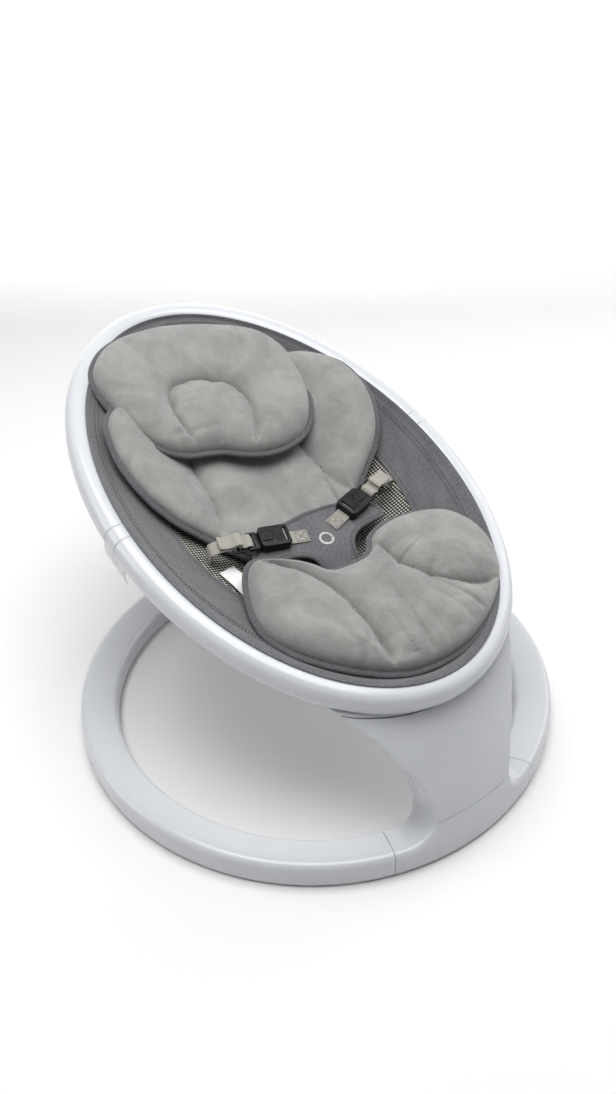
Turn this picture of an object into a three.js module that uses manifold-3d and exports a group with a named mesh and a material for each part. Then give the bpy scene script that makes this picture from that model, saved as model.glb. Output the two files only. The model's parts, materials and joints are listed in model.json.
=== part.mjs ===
// Baby swing: a round floor base, a fan-shaped neck that holds the quiet swing drive, and a tilted
// oval seat ring with its sling, cushions and waist harness. Millimetres, +Z up, +Y toward the head
// end. Named meshes, each one closed body. The last lines put the origin at the middle of the
// footprint, on the floor.
import * as THREE from 'three';
import { mergeVertices } from 'three/addons/utils/BufferGeometryUtils.js';
import Module from 'manifold-3d';

const wasm = await Module();
wasm.setup();

// ---------------------------------------------------------------- driving dimensions

const GAP = 0.3; // clearance between pieces that touch
const SLIP = 0.8; // clearance of a sleeve or spigot inside a bent tube

const base = {
  radius: 310, // outer radius of the floor ring
  width: 46, // radial width of its tube
  underside: 2, // height of the underside over the floor
  height: 34,
  wall: 2.8,
  frontHalfAngle: 20.45, // degrees, half the front piece
  sleeveLength: 38,
  sleeveWall: 2.4,
};

const foot = { radius: 12, chamfer: 0.6, frontAngle: 17.6, backAngle: 148 };

const neck = {
  seam: 61, // height of the joint between neck and base front
  top: 185,
  halfWidth: 57, // at the seam
  widening: 11.3, // linear and quadratic growth of the half width up to the top
  flare: 43.5,
  setback: 7, // of the front face at the seam, inside the floor ring's outer wall
  lean: 18, // linear and quadratic lean of the front face up to the top
  leanFlare: 35.7,
  depth: 50, // front to back at the seam
  depthGrowth: 18,
  wall: 3,
  shellSplit: 0.5, // share of the depth at which front and rear shells meet
  filletRun: 32, // foot of the neck, where it spreads into the floor ring
  filletDrop: 27,
};

neck.front = neck.setback - base.radius; // y of the front face at the seam

const swing = {
  tilt: 20, // degrees, the swing axis leans back from the vertical
  y: neck.front + neck.depth + 31, // a point on the axis at the neck's top
  z: neck.top - 7,
  bowlDrop: 4.84, // the running surface between neck and hub: where it crosses the axis, under that point
  bowlRise: 0.00195, // and its rise with the square of the distance from the axis
  clearance: 2.2,
  shaftRadius: 4,
  shaftAbove: 12, // shaft ends, along the axis from the axis point
  shaftBelow: 56,
};

const bearing = { outerRadius: 11, boreRadius: 4.08, width: 7, upper: -16, lower: -43 };
const housing = { radius: 13.5, throatRadius: 8.5, flangeWidth: 84, flangeDepth: 6, flangeHeight: 22 };
const hub = { wall: 3, lip: 1.2 }; // it ends toward the front where it would get thinner than its lip
const drive = { armReach: 17, armWidth: 9, armThickness: 4, magnetRadius: 6, magnetHeight: 5, coilGap: 2 };

const ring = {
  halfLength: 321, // semi-axes of the tube's centre line
  halfWidth: 213,
  egg: 0.015, // how much wider it is toward the foot end
  sectionHalfWidth: 15.5,
  sectionHalfHeight: 17.5,
  sectionPower: 2.35,
  wall: 2.6,
  footY: swing.y - 22.94, // the centre line's foot end, over the neck
  footZ: neck.top + 17.74,
  tilt: 18.2, // degrees, head end up
  collarAngle: 91, // degrees round from the foot end
  collarLength: 20,
  spigotLength: 11,
  spigotWall: 2.2,
};

const cover = {
  edge: 1.0, // clearance to the tube at its ends and sides
  leastGap: 0.5, // and anywhere else
  rim: 8, // height of the fabric's outer edge over the ring's plane
  meshHalfWidth: 147, // edge of the air mesh
  meshHalfLength: 221,
  meshRim: -20,
  meshDepth: 34,
  thickness: 2.4,
};

// The outlines of the cushions are drawn for a cover of this size, and scale with it.
const drawn = { halfWidth: 196.5, halfLength: 304.5 };
const cushion = { clearance: 1.0, back: 20, backEnd: 5, seat: 30, rim: 7 };
const pillow = {
  v: 172, // place of its middle along the seat
  halfWidth: 132,
  halfLength: 122,
  level: 6,
  crown: 15,
  rim: 6,
  wing: 12,
  clearance: 2.5,
};

const harness = {
  padTop: -9, // top face of the crotch pad over the ring's plane
  padThickness: 4.5,
  webWidth: 18,
  webThickness: 2.2,
  buckleU: 58, // buckle centres in the seat's plane
  buckleV: -66,
  turn: 16, // degrees, buckles turned outward and up
  bodyLength: 36,
  bodyWidth: 29,
  bodyHeight: 12.5,
  socketDepth: 15,
  socketWidth: 22,
  socketHeight: 6.5,
  buttonSize: 13,
  buttonTravel: 2,
  adjusterLength: 15,
  adjusterWidth: 25,
};

// ---------------------------------------------------------------- colours and finishes

const finish = (color, roughness, metalness = 0) =>
  new THREE.MeshStandardMaterial({ color, roughness, metalness });
const whiteShell = finish(0xdfe2e6, 0.22);
const sleevePlastic = finish(0xb9bcc0, 0.55);
const steel = finish(0xb4b7ba, 0.35, 0.9);
const darkSteel = finish(0x56585b, 0.4, 0.8);
const rubber = finish(0x3a3b3d, 0.9);
const heather = finish(0x626469, 0.95);
const velour = finish(0x8e8e8c, 0.95);
const airMesh = finish(0x1c1c1e, 0.8);
const webbing = finish(0xa7a297, 0.9);
const blackPlastic = finish(0x18181a, 0.4);
const copper = finish(0xb06a3a, 0.4, 0.8);
const board = finish(0x1f5a3a, 0.6);
const labelCloth = finish(0xe6e6e4, 0.9);

// ---------------------------------------------------------------- helpers

const rad = THREE.MathUtils.degToRad;
const lerp = THREE.MathUtils.lerp;
const vec = (x, y, z) => new THREE.Vector3(x, y, z);
const steps = (from, to, count) => Array.from({ length: count + 1 }, (_, i) => lerp(from, to, i / count));

const part = new THREE.Group();

function addMesh(name, geometry, material, parent = part) {
  const mesh = new THREE.Mesh(geometry, material);
  mesh.name = name;
  parent.add(mesh);
  return mesh;
}

function signedVolume(points, index) {
  let sum = 0;
  for (let i = 0; i < index.length; i += 3) {
    const [a, b, c] = [points[index[i]], points[index[i + 1]], points[index[i + 2]]];
    sum += a.dot(vec(0, 0, 0).crossVectors(b, c));
  }
  return sum / 6;
}

function fromTriangles(points, index) {
  if (signedVolume(points, index) < 0) index.reverse();
  const geometry = new THREE.BufferGeometry().setFromPoints(points);
  geometry.setIndex(index);
  geometry.computeVertexNormals();
  return geometry;
}

// The closed solid between two grids of points of the same size. With wrap, each row closes on itself.
function slab(upper, lower, wrap = false) {
  const rows = upper.length;
  const columns = upper[0].length;
  const points = [...upper.flat(), ...lower.flat()];
  const under = rows * columns;
  const at = (i, j) => i * columns + (j % columns);
  const index = [];
  const quad = (a, b, c, d) => index.push(a, b, c, a, c, d);
  const lastColumn = wrap ? columns : columns - 1;
  for (let i = 0; i < rows - 1; i++) {
    for (let j = 0; j < lastColumn; j++) {
      quad(at(i, j), at(i + 1, j), at(i + 1, j + 1), at(i, j + 1));
      quad(under + at(i, j), under + at(i, j + 1), under + at(i + 1, j + 1), under + at(i + 1, j));
    }
  }
  for (let j = 0; j < lastColumn; j++) {
    quad(at(0, j), at(0, j + 1), under + at(0, j + 1), under + at(0, j));
    const i = rows - 1;
    quad(at(i, j + 1), at(i, j), under + at(i, j), under + at(i, j + 1));
  }
  for (let i = 0; i < rows - 1 && !wrap; i++) {
    const j = columns - 1;
    quad(at(i + 1, 0), at(i, 0), under + at(i, 0), under + at(i + 1, 0));
    quad(at(i, j), at(i + 1, j), under + at(i + 1, j), under + at(i, j));
  }
  return fromTriangles(points, index);
}

// A solid bar through closed sections, with its ends closed by fans.
function bar(sections) {
  const count = sections[0].length;
  const points = sections.flat();
  const index = [];
  for (let i = 0; i < sections.length - 1; i++) {
    for (let j = 0; j < count; j++) {
      const k = (j + 1) % count;
      const [a, b] = [i * count + j, i * count + k];
      index.push(a, a + count, b + count, a, b + count, b);
    }
  }
  for (const [row, flip] of [[0, false], [sections.length - 1, true]]) {
    const middle = points.length;
    points.push(sections[row].reduce((sum, p) => sum.add(p), vec(0, 0, 0)).divideScalar(count));
    for (let j = 0; j < count; j++) {
      const [a, b] = [row * count + j, row * count + ((j + 1) % count)];
      index.push(middle, flip ? b : a, flip ? a : b);
    }
  }
  return fromTriangles(points, index);
}

function toSolid(geometry) {
  const plain = new THREE.BufferGeometry();
  plain.setAttribute('position', geometry.getAttribute('position').clone());
  if (geometry.index) plain.setIndex(geometry.index.clone());
  const merged = mergeVertices(plain, 1e-4);
  return new wasm.Manifold(new wasm.Mesh({
    numProp: 3,
    vertProperties: new Float32Array(merged.getAttribute('position').array),
    triVerts: new Uint32Array(merged.index.array),
  }));
}

function fromSolid(solid) {
  const mesh = solid.getMesh();
  const geometry = new THREE.BufferGeometry();
  geometry.setAttribute('position', new THREE.BufferAttribute(mesh.vertProperties.slice(), 3));
  geometry.setIndex([...mesh.triVerts]);
  geometry.computeVertexNormals();
  return geometry;
}

const join = (...parts) => fromSolid(parts.map(toSolid).reduce((a, b) => a.add(b)));
const cut = (body, ...tools) => fromSolid(tools.map(toSolid).reduce((a, b) => a.subtract(b), toSolid(body)));

const box = (x, y, z, cx = 0, cy = 0, cz = 0) => new THREE.BoxGeometry(x, y, z).translate(cx, cy, cz);

// A cylinder along z between two heights.
function rod(radius, from, to, segments = 20) {
  return new THREE.CylinderGeometry(radius, radius, to - from, segments)
    .rotateX(Math.PI / 2).translate(0, 0, (from + to) / 2);
}

// A turned piece about z; the profile is a list of [radius, height].
function turned(profile, segments = 20) {
  return new THREE.LatheGeometry(profile.map(([r, z]) => new THREE.Vector2(r, z)), segments)
    .rotateX(Math.PI / 2);
}

const tubeProfile = (inner, outer, from, to) => [[inner, from], [outer, from], [outer, to], [inner, to], [inner, from]];

// A pan-head screw: head under z = 0, shank up along +z.
function screw(shankRadius, headRadius, length) {
  const head = 2.2;
  return turned([[0, -head], [headRadius * 0.75, -head], [headRadius, -head * 0.5], [headRadius, 0],
    [shankRadius, 0], [shankRadius, length - 1], [0, length]], 12);
}

// ---------------------------------------------------------------- floor base

// Section of the floor ring as [inset from the outer wall, height over the underside], for its
// outer skin, or shrunk by an inset all round.
function baseSection(inset = 0) {
  const { width, height } = base;
  const outline = [
    [4, 0], [0, 5], [0, height - 9], [2.5, height - 3], [8, height], [14, height - 0.8],
    [width - 8, height - 7], [width - 2.5, height - 9.5], [width, height - 15], [width, 5], [width - 4, 0],
  ];
  const shrink = (value, size) => size / 2 + (value - size / 2) * (1 - (2 * inset) / size);
  return outline.map(([a, b]) => [shrink(a, width), shrink(b, height)]);
}

// Angles round the base are measured from the front, positive toward the right.
function basePoint(inset, height, angle) {
  const r = base.radius - inset;
  return vec(r * Math.sin(angle), -r * Math.cos(angle), base.underside + height);
}

const baseSections = (from, to, count, inset = 0) =>
  steps(from, to, count).map((angle) => baseSection(inset).map(([a, b]) => basePoint(a, b, angle)));

const seamAngle = rad(base.frontHalfAngle);
const gapAngle = GAP / 2 / base.radius;
for (const [side, name] of [[-1, 'left'], [1, 'right']]) {
  const from = side * (seamAngle + gapAngle);
  const to = side * (Math.PI - gapAngle);
  addMesh(`base_ring_${name}`, slab(baseSections(from, to, 25), baseSections(from, to, 25, base.wall), true),
    whiteShell);
}

const sleeveHalf = base.sleeveLength / 2 / (base.radius - base.width / 2);
const sleeveInset = base.wall + SLIP;
for (const [name, angle] of [['back', Math.PI], ['left', -seamAngle], ['right', seamAngle]]) {
  const span = [angle - sleeveHalf, angle + sleeveHalf, 4];
  addMesh(`base_sleeve_${name}`, slab(baseSections(...span, sleeveInset),
    baseSections(...span, sleeveInset + base.sleeveWall), true), sleevePlastic);
}

// ---------------------------------------------------------------- neck surfaces

const neckShare = (z) => (z - neck.seam) / (neck.top - neck.seam);
const neckHalfWidth = (z) => neck.halfWidth + neck.widening * neckShare(z) + neck.flare * neckShare(z) ** 2;
const neckFront = (z) => neck.front + neck.lean * neckShare(z) + neck.leanFlare * neckShare(z) ** 2;
const neckDepth = (z) => neck.depth + neck.depthGrowth * Math.min(neckShare(z), 1);
const arcDrop = (x) => base.radius - Math.sqrt(base.radius ** 2 - x ** 2);

// A point of the neck at height z: across runs -1..1 left to right, through runs 0..1 front to back.
function neckPoint(z, across, through, inset = 0) {
  const x = across * (neckHalfWidth(z) - inset - 5 * through);
  const front = neckFront(z) + arcDrop(x) + inset;
  const rear = neckFront(z) + neckDepth(z) + arcDrop(x) * 0.5 - inset;
  return vec(x, lerp(front, rear, through), z);
}

const axisTilt = rad(swing.tilt);
const axisDirection = vec(0, Math.sin(axisTilt), Math.cos(axisTilt));
const axisPoint = vec(0, swing.y, swing.z);
const bowlStart = axisPoint.dot(axisDirection) - swing.bowlDrop;

// Height of the bowl-shaped running surface above or below a point, raised by a clearance.
function bowlZ(point, raise) {
  const offset = point.clone().sub(axisPoint);
  const along = offset.dot(axisDirection);
  const distance = Math.sqrt(Math.max(offset.lengthSq() - along ** 2, 0));
  const level = bowlStart + swing.bowlRise * distance ** 2 + raise;
  return (level - point.y * axisDirection.y) / axisDirection.z;
}

// Follows one column of the neck up to a height given as a function of the point reached.
function columnTop(across, through, inset, heightAt) {
  let z = neck.top;
  for (let i = 0; i < 40; i++) z = lerp(z, heightAt(neckPoint(z, across, through, inset)), 0.6);
  return z;
}

function neckShell(outline, bottom, levels = 6) {
  const skin = (inset) => steps(0, 1, levels).map((share) => outline.map(([across, through]) => {
    const top = columnTop(across, through, inset, (p) => bowlZ(p, -swing.clearance));
    return neckPoint(lerp(bottom, top, share), across, through, inset);
  }));
  return slab(skin(0), skin(neck.wall));
}

const sideGap = GAP / neck.depth;
const frontOutline = [
  [-1, neck.shellSplit - sideGap], [-1, 0.2], ...steps(-1, 1, 16).map((a) => [a, 0]), [1, 0.2],
  [1, neck.shellSplit - sideGap],
];
const rearOutline = [
  [1, neck.shellSplit + sideGap], [1, 0.8], ...steps(1, -1, 14).map((a) => [a, 1]), [-1, 0.8],
  [-1, neck.shellSplit + sideGap],
];

// Screws of the rear shell, as [height, share of the half width], and the power inlet's place.
const neckScrews = [[82, 0.7], [148, 0.72]].flatMap(([z, share]) => [[z, -share], [z, share]]);
const jack = { z: 84, across: 0, radius: 6, flange: 9, length: 13 };

// A frame on the neck's rear face: local +z points out of the face.
function rearFaceFrame(z, across) {
  const lower = neckPoint(z - 4, across, 1);
  const upper = neckPoint(z + 4, across, 1);
  const right = neckPoint(z, across + 0.05, 1);
  const left = neckPoint(z, across - 0.05, 1);
  const normal = vec(0, 0, 0).crossVectors(upper.sub(lower), right.sub(left)).normalize();
  return new THREE.Matrix4().compose(neckPoint(z, across, 1),
    new THREE.Quaternion().setFromUnitVectors(vec(0, 0, 1), normal), vec(1, 1, 1));
}

const screwHole = 2.4;
const rearHoles = [
  ...neckScrews.map(([z, across]) => rod(screwHole, -12, 8, 12).applyMatrix4(rearFaceFrame(z, across))),
  rod(jack.radius + GAP, -12, 8).applyMatrix4(rearFaceFrame(jack.z, jack.across)),
];
addMesh('neck_front_shell', neckShell(frontOutline, neck.seam + GAP), whiteShell);
addMesh('neck_rear_shell', cut(neckShell(rearOutline, neck.seam + GAP), ...rearHoles), whiteShell);

neckScrews.forEach(([z, across], i) => {
  const geometry = screw(2, 4, 12).rotateX(Math.PI).translate(0, 0, 0.8);
  addMesh(`neck_screw_${i + 1}`, geometry.applyMatrix4(rearFaceFrame(z, across)), darkSteel);
});

addMesh('power_inlet', turned([[0, -jack.length], [jack.radius, -jack.length], [jack.radius, 0.9],
  [jack.flange, 0.9], [jack.flange, 2.4], [3.2, 2.4], [3.2, -8], [0.9, -8], [0.9, 0.5], [0, 0.8]], 20)
  .applyMatrix4(rearFaceFrame(jack.z, jack.across)), blackPlastic);

// ---------------------------------------------------------------- base front piece

// The foot of the neck: straight in the middle, spreading sideways like a fillet into the ring.
function footSection(z, inset = 0) {
  const drop = THREE.MathUtils.clamp((neck.seam - z) / neck.filletDrop, 0, 1);
  const spread = neck.filletRun * (1 - Math.sqrt(1 - drop ** 2));
  const halfWidth = neck.halfWidth + spread - inset;
  const bulge = (base.radius - 3 + neck.front) * drop;
  const front = (x) => neck.front + arcDrop(x) - bulge + inset;
  const rear = (x) => neck.front + neck.depth + arcDrop(x) * 0.5 - 2 * drop - inset;
  const across = steps(-halfWidth, halfWidth, 8);
  return [...across.map((x) => vec(x, front(x), z)), ...across.reverse().map((x) => vec(x, rear(x), z))];
}

const footLevels = [0, 0.3, 0.55, 0.75, 0.9, 1].map((share) => neck.seam - neck.filletDrop * share);
const footBottom = base.underside + 1;
const frontSpan = [-(seamAngle - gapAngle), seamAngle - gapAngle, 10];
const overCut = 2;
const cavityTop = neck.seam + overCut;
const opening = { halfAngle: rad(13.4), wall: 8 };
const openingRadii = [base.radius - opening.wall, base.radius - base.width + opening.wall];
const openingGrid = (z, inset) => openingRadii.map((r, i) => steps(-opening.halfAngle, opening.halfAngle, 8)
  .map((angle) => {
    const reach = r + (i === 0 ? -inset : inset);
    const turn = angle * (1 - inset / (r * opening.halfAngle));
    return vec(reach * Math.sin(turn), -reach * Math.cos(turn), z);
  }));
const footOuter = bar([...footLevels.map((z) => footSection(z)), footSection(footBottom)]);
const footInner = bar([footSection(cavityTop, base.wall), ...footLevels.map((z) => footSection(z, base.wall)),
  footSection(footBottom + base.wall, base.wall)]);
const ringInner = bar(baseSections(-seamAngle - 0.01, seamAngle + 0.01, 10, base.wall));
addMesh('base_front', cut(join(bar(baseSections(...frontSpan)), footOuter), footInner, ringInner,
  slab(openingGrid(base.underside + 9, 0), openingGrid(-1, 0))), whiteShell);

const coverPlate = { bottom: base.underside + 0.4, top: base.underside + 2.6 };
addMesh('base_cover', slab(openingGrid(coverPlate.top, GAP), openingGrid(coverPlate.bottom, GAP)), sleevePlastic);

for (const [name, side, angle] of [['front_left', -1, foot.frontAngle], ['front_right', 1, foot.frontAngle],
  ['back_left', -1, foot.backAngle], ['back_right', 1, foot.backAngle]]) {
  const top = base.underside - GAP;
  const pad = turned([[0, 0], [foot.radius - foot.chamfer, 0], [foot.radius, foot.chamfer],
    [foot.radius, top], [0, top]], 24);
  const place = basePoint(base.width / 2, 0, side * rad(angle));
  addMesh(`foot_pad_${name}`, pad, rubber).position.set(place.x, place.y, 0);
}

// ---------------------------------------------------------------- swing drive, in the axis frame

const axisFrame = new THREE.Group();
axisFrame.position.copy(axisPoint);
axisFrame.rotation.x = -axisTilt;
part.add(axisFrame);

addMesh('swing_shaft', rod(swing.shaftRadius, -swing.shaftBelow, swing.shaftAbove, 24), steel, axisFrame);
for (const name of ['upper', 'lower']) {
  const half = bearing.width / 2;
  addMesh(`bearing_${name}`, turned(tubeProfile(bearing.boreRadius, bearing.outerRadius, -half, half), 24), steel,
    axisFrame).position.z = bearing[name];
}

const seatDepth = bearing.width / 2 + GAP;
const housingTop = bearing.upper + bearing.width / 2;
const housingBottom = bearing.lower - bearing.width / 2;
const pocket = bearing.outerRadius + GAP;
const shoulders = [bearing.upper - seatDepth, bearing.lower + seatDepth];
const housingTube = turned([[housing.throatRadius, shoulders[1]], [pocket, shoulders[1]], [pocket, housingBottom],
  [housing.radius, housingBottom], [housing.radius, housingTop], [pocket, housingTop], [pocket, shoulders[0]],
  [housing.throatRadius, shoulders[0]], [housing.throatRadius, shoulders[1]]], 28);
const flangeZ = (shoulders[0] + shoulders[1]) / 2;
const flange = cut(box(housing.flangeWidth, housing.flangeDepth, housing.flangeHeight, 0, 0, flangeZ),
  rod(housing.radius - 1, flangeZ - 30, flangeZ + 30));
const armZ = -swing.shaftBelow + drive.armThickness / 2 + 1;
const armTip = -drive.armReach;
const arm = join(rod(8, armZ - drive.armThickness / 2, armZ + drive.armThickness / 2),
  box(drive.armWidth, drive.armReach, drive.armThickness, 0, armTip / 2, armZ));
addMesh('magnet_arm', cut(arm, rod(swing.shaftRadius + GAP / 2, armZ - 10, armZ + 10)), blackPlastic, axisFrame);
const magnetTop = armZ - drive.armThickness / 2 - GAP;
addMesh('drive_magnet', rod(drive.magnetRadius, magnetTop - drive.magnetHeight, magnetTop), steel, axisFrame)
  .position.y = armTip + 2;
const coilTop = magnetTop - drive.magnetHeight - drive.coilGap;
const coil = { inner: 4, outer: 10.5, height: 7, shelf: 2.5, post: 3, postAt: 14.5 };
addMesh('drive_coil', turned(tubeProfile(coil.inner, coil.outer, coilTop - coil.height, coilTop), 24), copper,
  axisFrame).position.y = armTip + 2;

// The housing carries the coil on a shelf that hangs from two posts beside the arm.
const shelfTop = coilTop - coil.height - GAP;
const shelfBack = housing.flangeDepth / 2;
const shelfFront = armTip + 2 - coil.outer;
const shelf = box(2 * coil.postAt + coil.post, shelfBack - shelfFront, coil.shelf, 0, (shelfBack + shelfFront) / 2,
  shelfTop - coil.shelf / 2);
const postTop = flangeZ;
const posts = [-1, 1].map((side) => box(coil.post, housing.flangeDepth, postTop - shelfTop + coil.shelf / 2,
  side * coil.postAt, 0, (postTop + shelfTop - coil.shelf / 2) / 2));
addMesh('bearing_housing', join(housingTube, flange, shelf, ...posts), sleevePlastic, axisFrame);

const boardSize = { width: 72, thickness: 1.6, height: 34, y: neck.front + 20, z: 83 };
addMesh('control_board', box(boardSize.width, boardSize.thickness, boardSize.height, 0, boardSize.y, boardSize.z), board);
const speaker = { radius: 12, depth: 7, x: 36, z: 84 };
addMesh('speaker', turned([[0, 0], [speaker.radius * 0.6, 0], [speaker.radius * 0.6, speaker.depth - 2.5],
  [speaker.radius, speaker.depth - 2.5], [speaker.radius, speaker.depth], [0, speaker.depth - 1.5]], 20)
  .rotateX(-Math.PI / 2), blackPlastic).position.set(speaker.x, boardSize.y + boardSize.thickness / 2 + GAP, speaker.z);

// ---------------------------------------------------------------- seat hub, on the moving side

const seatTilt = rad(ring.tilt);
const seatNormal = vec(0, -Math.sin(seatTilt), Math.cos(seatTilt));
const seatCentre = vec(0, ring.footY + ring.halfLength * Math.cos(seatTilt),
  ring.footZ + ring.halfLength * Math.sin(seatTilt));
const undersideLevel = seatNormal.dot(seatCentre) - ring.sectionHalfHeight - GAP;
const undersideZ = (point) => (undersideLevel - point.y * seatNormal.y) / seatNormal.z;
// How far back the hub starts in one column: the bowl rises toward the front and meets the ring's underside.
function hubStart(across) {
  let [low, high] = [0, 0.7];
  for (let i = 0; i < 20; i++) {
    const middle = (low + high) / 2;
    const point = neckPoint(columnTop(across, middle, 0, (p) => bowlZ(p, 0)), across, middle);
    if (undersideZ(point) - bowlZ(point, 0) < hub.lip) low = middle;
    else high = middle;
  }
  return high;
}
const hubGrid = (heightAt, shares = steps(0, 1, 5), acrosses = steps(-1, 1, 16)) =>
  shares.map((share) => acrosses.map((across) => {
    const through = lerp(hubStart(across), 1, share);
    return neckPoint(columnTop(across, through, 0, heightAt), across, through);
  }));
const hubBore = rod(swing.shaftRadius + GAP, -20, swing.shaftAbove + GAP)
  .rotateX(-axisTilt).translate(0, swing.y, swing.z);
const hubBlock = slab(hubGrid(undersideZ), hubGrid((p) => bowlZ(p, 0)));
// Two pockets, open at the top, leave a boss for the shaft between them.
const hubPockets = [-1, 1].map((side) => {
  const span = [steps(0.3, 0.85, 2), steps(side * 0.16, side * 0.9, 4)];
  const open = (p) => Math.max(undersideZ(p), bowlZ(p, hub.wall)) + hub.wall;
  return slab(hubGrid(open, ...span), hubGrid((p) => bowlZ(p, hub.wall), ...span));
});

// ---------------------------------------------------------------- seat ring, in the seat's frame

const seat = new THREE.Group();
seat.position.copy(seatCentre);
seat.rotation.x = seatTilt;
part.add(seat);

// The seat's frame: x across, y toward the head end, z out of the ring's plane. Angles run from the
// foot end round by the right side.
function ringCentre(angle) {
  const u = ring.halfWidth * Math.sin(angle) * (1 + ring.egg * Math.cos(angle));
  return vec(u, -ring.halfLength * Math.cos(angle), 0);
}

function ringOutward(angle) {
  const along = ringCentre(angle + 0.001).sub(ringCentre(angle - 0.001)).normalize();
  return vec(along.y, -along.x, 0);
}

const roundedPower = (value, power) => Math.sign(value) * Math.abs(value) ** (2 / power);

function ringSection(angle, inset, count = 12) {
  return Array.from({ length: count }, (_, i) => {
    const turn = (2 * Math.PI * i) / count;
    const out = (ring.sectionHalfWidth - inset) * roundedPower(Math.cos(turn), ring.sectionPower);
    const up = (ring.sectionHalfHeight - inset) * roundedPower(Math.sin(turn), ring.sectionPower);
    return ringCentre(angle).addScaledVector(ringOutward(angle), out).setZ(up);
  });
}

const collarAngle = rad(ring.collarAngle);
const perLength = 1 / ring.halfLength; // angle for a millimetre along the side of the ring
const collarHalf = (ring.collarLength / 2) * perLength;
function ringTube(from, to, count) {
  const angles = steps(from, to, count);
  return slab(angles.map((a) => ringSection(a, 0)), angles.map((a) => ringSection(a, ring.wall)), true);
}
addMesh('seat_ring_foot', ringTube(-(collarAngle - collarHalf), collarAngle - collarHalf, 26), whiteShell, seat);
addMesh('seat_ring_head', ringTube(collarAngle + collarHalf, 2 * Math.PI - collarAngle - collarHalf, 26), whiteShell,
  seat);

for (const [name, angle] of [['left', -collarAngle], ['right', collarAngle]]) {
  const half = ring.collarLength / 2 - GAP;
  const reach = half + ring.spigotLength;
  const spigotInset = ring.wall + SLIP;
  const stations = [[-reach, spigotInset], [-half, spigotInset], [-half, 0], [half, 0], [half, spigotInset],
    [reach, spigotInset]].map(([offset, inset]) => [angle + offset * perLength, inset]);
  addMesh(`ring_collar_${name}`, slab(stations.map(([a, inset]) => ringSection(a, inset)),
    stations.map(([a]) => ringSection(a, spigotInset + ring.spigotWall)), true), whiteShell, seat);
}

// ---------------------------------------------------------------- sling

// The cover is an ellipse, and the tube's inner wall isn't quite one, so the edge clearance grows if they come close.
const coverReach = (size, clearance) => size - ring.sectionHalfWidth - clearance;
const closest = Math.min(...steps(0, Math.PI, 60).map((angle) => {
  const wall = ringCentre(angle).addScaledVector(ringOutward(angle), -ring.sectionHalfWidth);
  const [a, b] = [coverReach(ring.halfWidth, cover.edge), coverReach(ring.halfLength, cover.edge)];
  return (Math.hypot(wall.x / a, wall.y / b) - 1) * a;
}));
const coverClearance = cover.edge + Math.max(0, cover.leastGap - closest);
const coverHalfWidth = coverReach(ring.halfWidth, coverClearance);
const coverHalfLength = coverReach(ring.halfLength, coverClearance);
const [fitU, fitV] = [coverHalfWidth / drawn.halfWidth, coverHalfLength / drawn.halfLength];
const slingEdge = (share) => [lerp(cover.meshHalfWidth, coverHalfWidth, share),
  lerp(cover.meshHalfLength, coverHalfLength, share)];

// Upper face of the sling: a bowl of air mesh, and outside it a sloping fabric band up to the ring.
function slingHeight(u, v) {
  const inner = Math.hypot(u / cover.meshHalfWidth, v / cover.meshHalfLength);
  if (inner <= 1) return cover.meshRim - cover.meshDepth * (1 - inner ** 2);
  let [low, high] = [0, 1.5];
  for (let i = 0; i < 30; i++) {
    const middle = (low + high) / 2;
    const [a, b] = slingEdge(middle);
    if (Math.hypot(u / a, v / b) > 1) low = middle; else high = middle;
  }
  return lerp(cover.meshRim, cover.rim, low);
}

const aroundCount = 40;
const around = Array.from({ length: aroundCount }, (_, i) => (2 * Math.PI * i) / aroundCount);
const bandGrid = (drop) => steps(1, 0, 3).map((share) => around.map((angle) => {
  const [a, b] = slingEdge(share);
  return vec(a * Math.sin(angle), -b * Math.cos(angle), lerp(cover.meshRim, cover.rim, share) - drop);
}));
addMesh('seat_cover', slab(bandGrid(0), bandGrid(cover.thickness), true), heather, seat);

// Maps a square grid onto a disc, so a round sheet has no pole.
const disc = (s, t) => [s * Math.sqrt(1 - t ** 2 / 2), t * Math.sqrt(1 - s ** 2 / 2)];
const meshGrid = (drop) => steps(-1, 1, 12).map((t) => steps(-1, 1, 12).map((s) => {
  const [x, y] = disc(s, t);
  const reach = 1 - SLIP / cover.meshHalfWidth;
  const [u, v] = [x * cover.meshHalfWidth * reach, y * cover.meshHalfLength * reach];
  return vec(u, v, slingHeight(u, v) - drop);
}));
addMesh('mesh_panel', slab(meshGrid(0), meshGrid(cover.thickness)), airMesh, seat);

// The hub stops short of the sling.
const slingTool = slab(...[-60, cover.thickness + GAP].map((drop) => [1.01, 0.66, 0.33, 0, -1].map((share) =>
  around.map((angle) => {
    const [a, b] = slingEdge(share);
    return vec(a * Math.sin(angle), -b * Math.cos(angle),
      (share < 0 ? slingHeight(a * Math.sin(angle), -b * Math.cos(angle))
        : lerp(cover.meshRim, cover.rim, share)) - drop);
  }))), true).rotateX(seatTilt).translate(0, seatCentre.y, seatCentre.z);
addMesh('seat_hub', cut(hubBlock, ...hubPockets, hubBore, slingTool), whiteShell);

// ---------------------------------------------------------------- cushions

// A pad between two heights. Its outline is a curve of [half width, place along the seat].
function pad(outline, topAt, bottomAt, rows = 13, columns = 10) {
  const curve = new THREE.SplineCurve(outline.map(([w, v]) => new THREE.Vector2(w * fitU, v * fitV)));
  const rowsAt = curve.getSpacedPoints(rows);
  const grid = (heightAt) => rowsAt.map((point, i) => steps(-1, 1, columns).map((share) => {
    const u = share * point.x;
    const rim = Math.min(1, Math.min(1 - Math.abs(share), i / rows, 1 - i / rows) * 5);
    return vec(u, point.y, heightAt(u, point.y, rim));
  }));
  return slab(grid(topAt), grid(bottomAt));
}

const onSling = (u, v) => slingHeight(u, v) + cushion.clearance;
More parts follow.
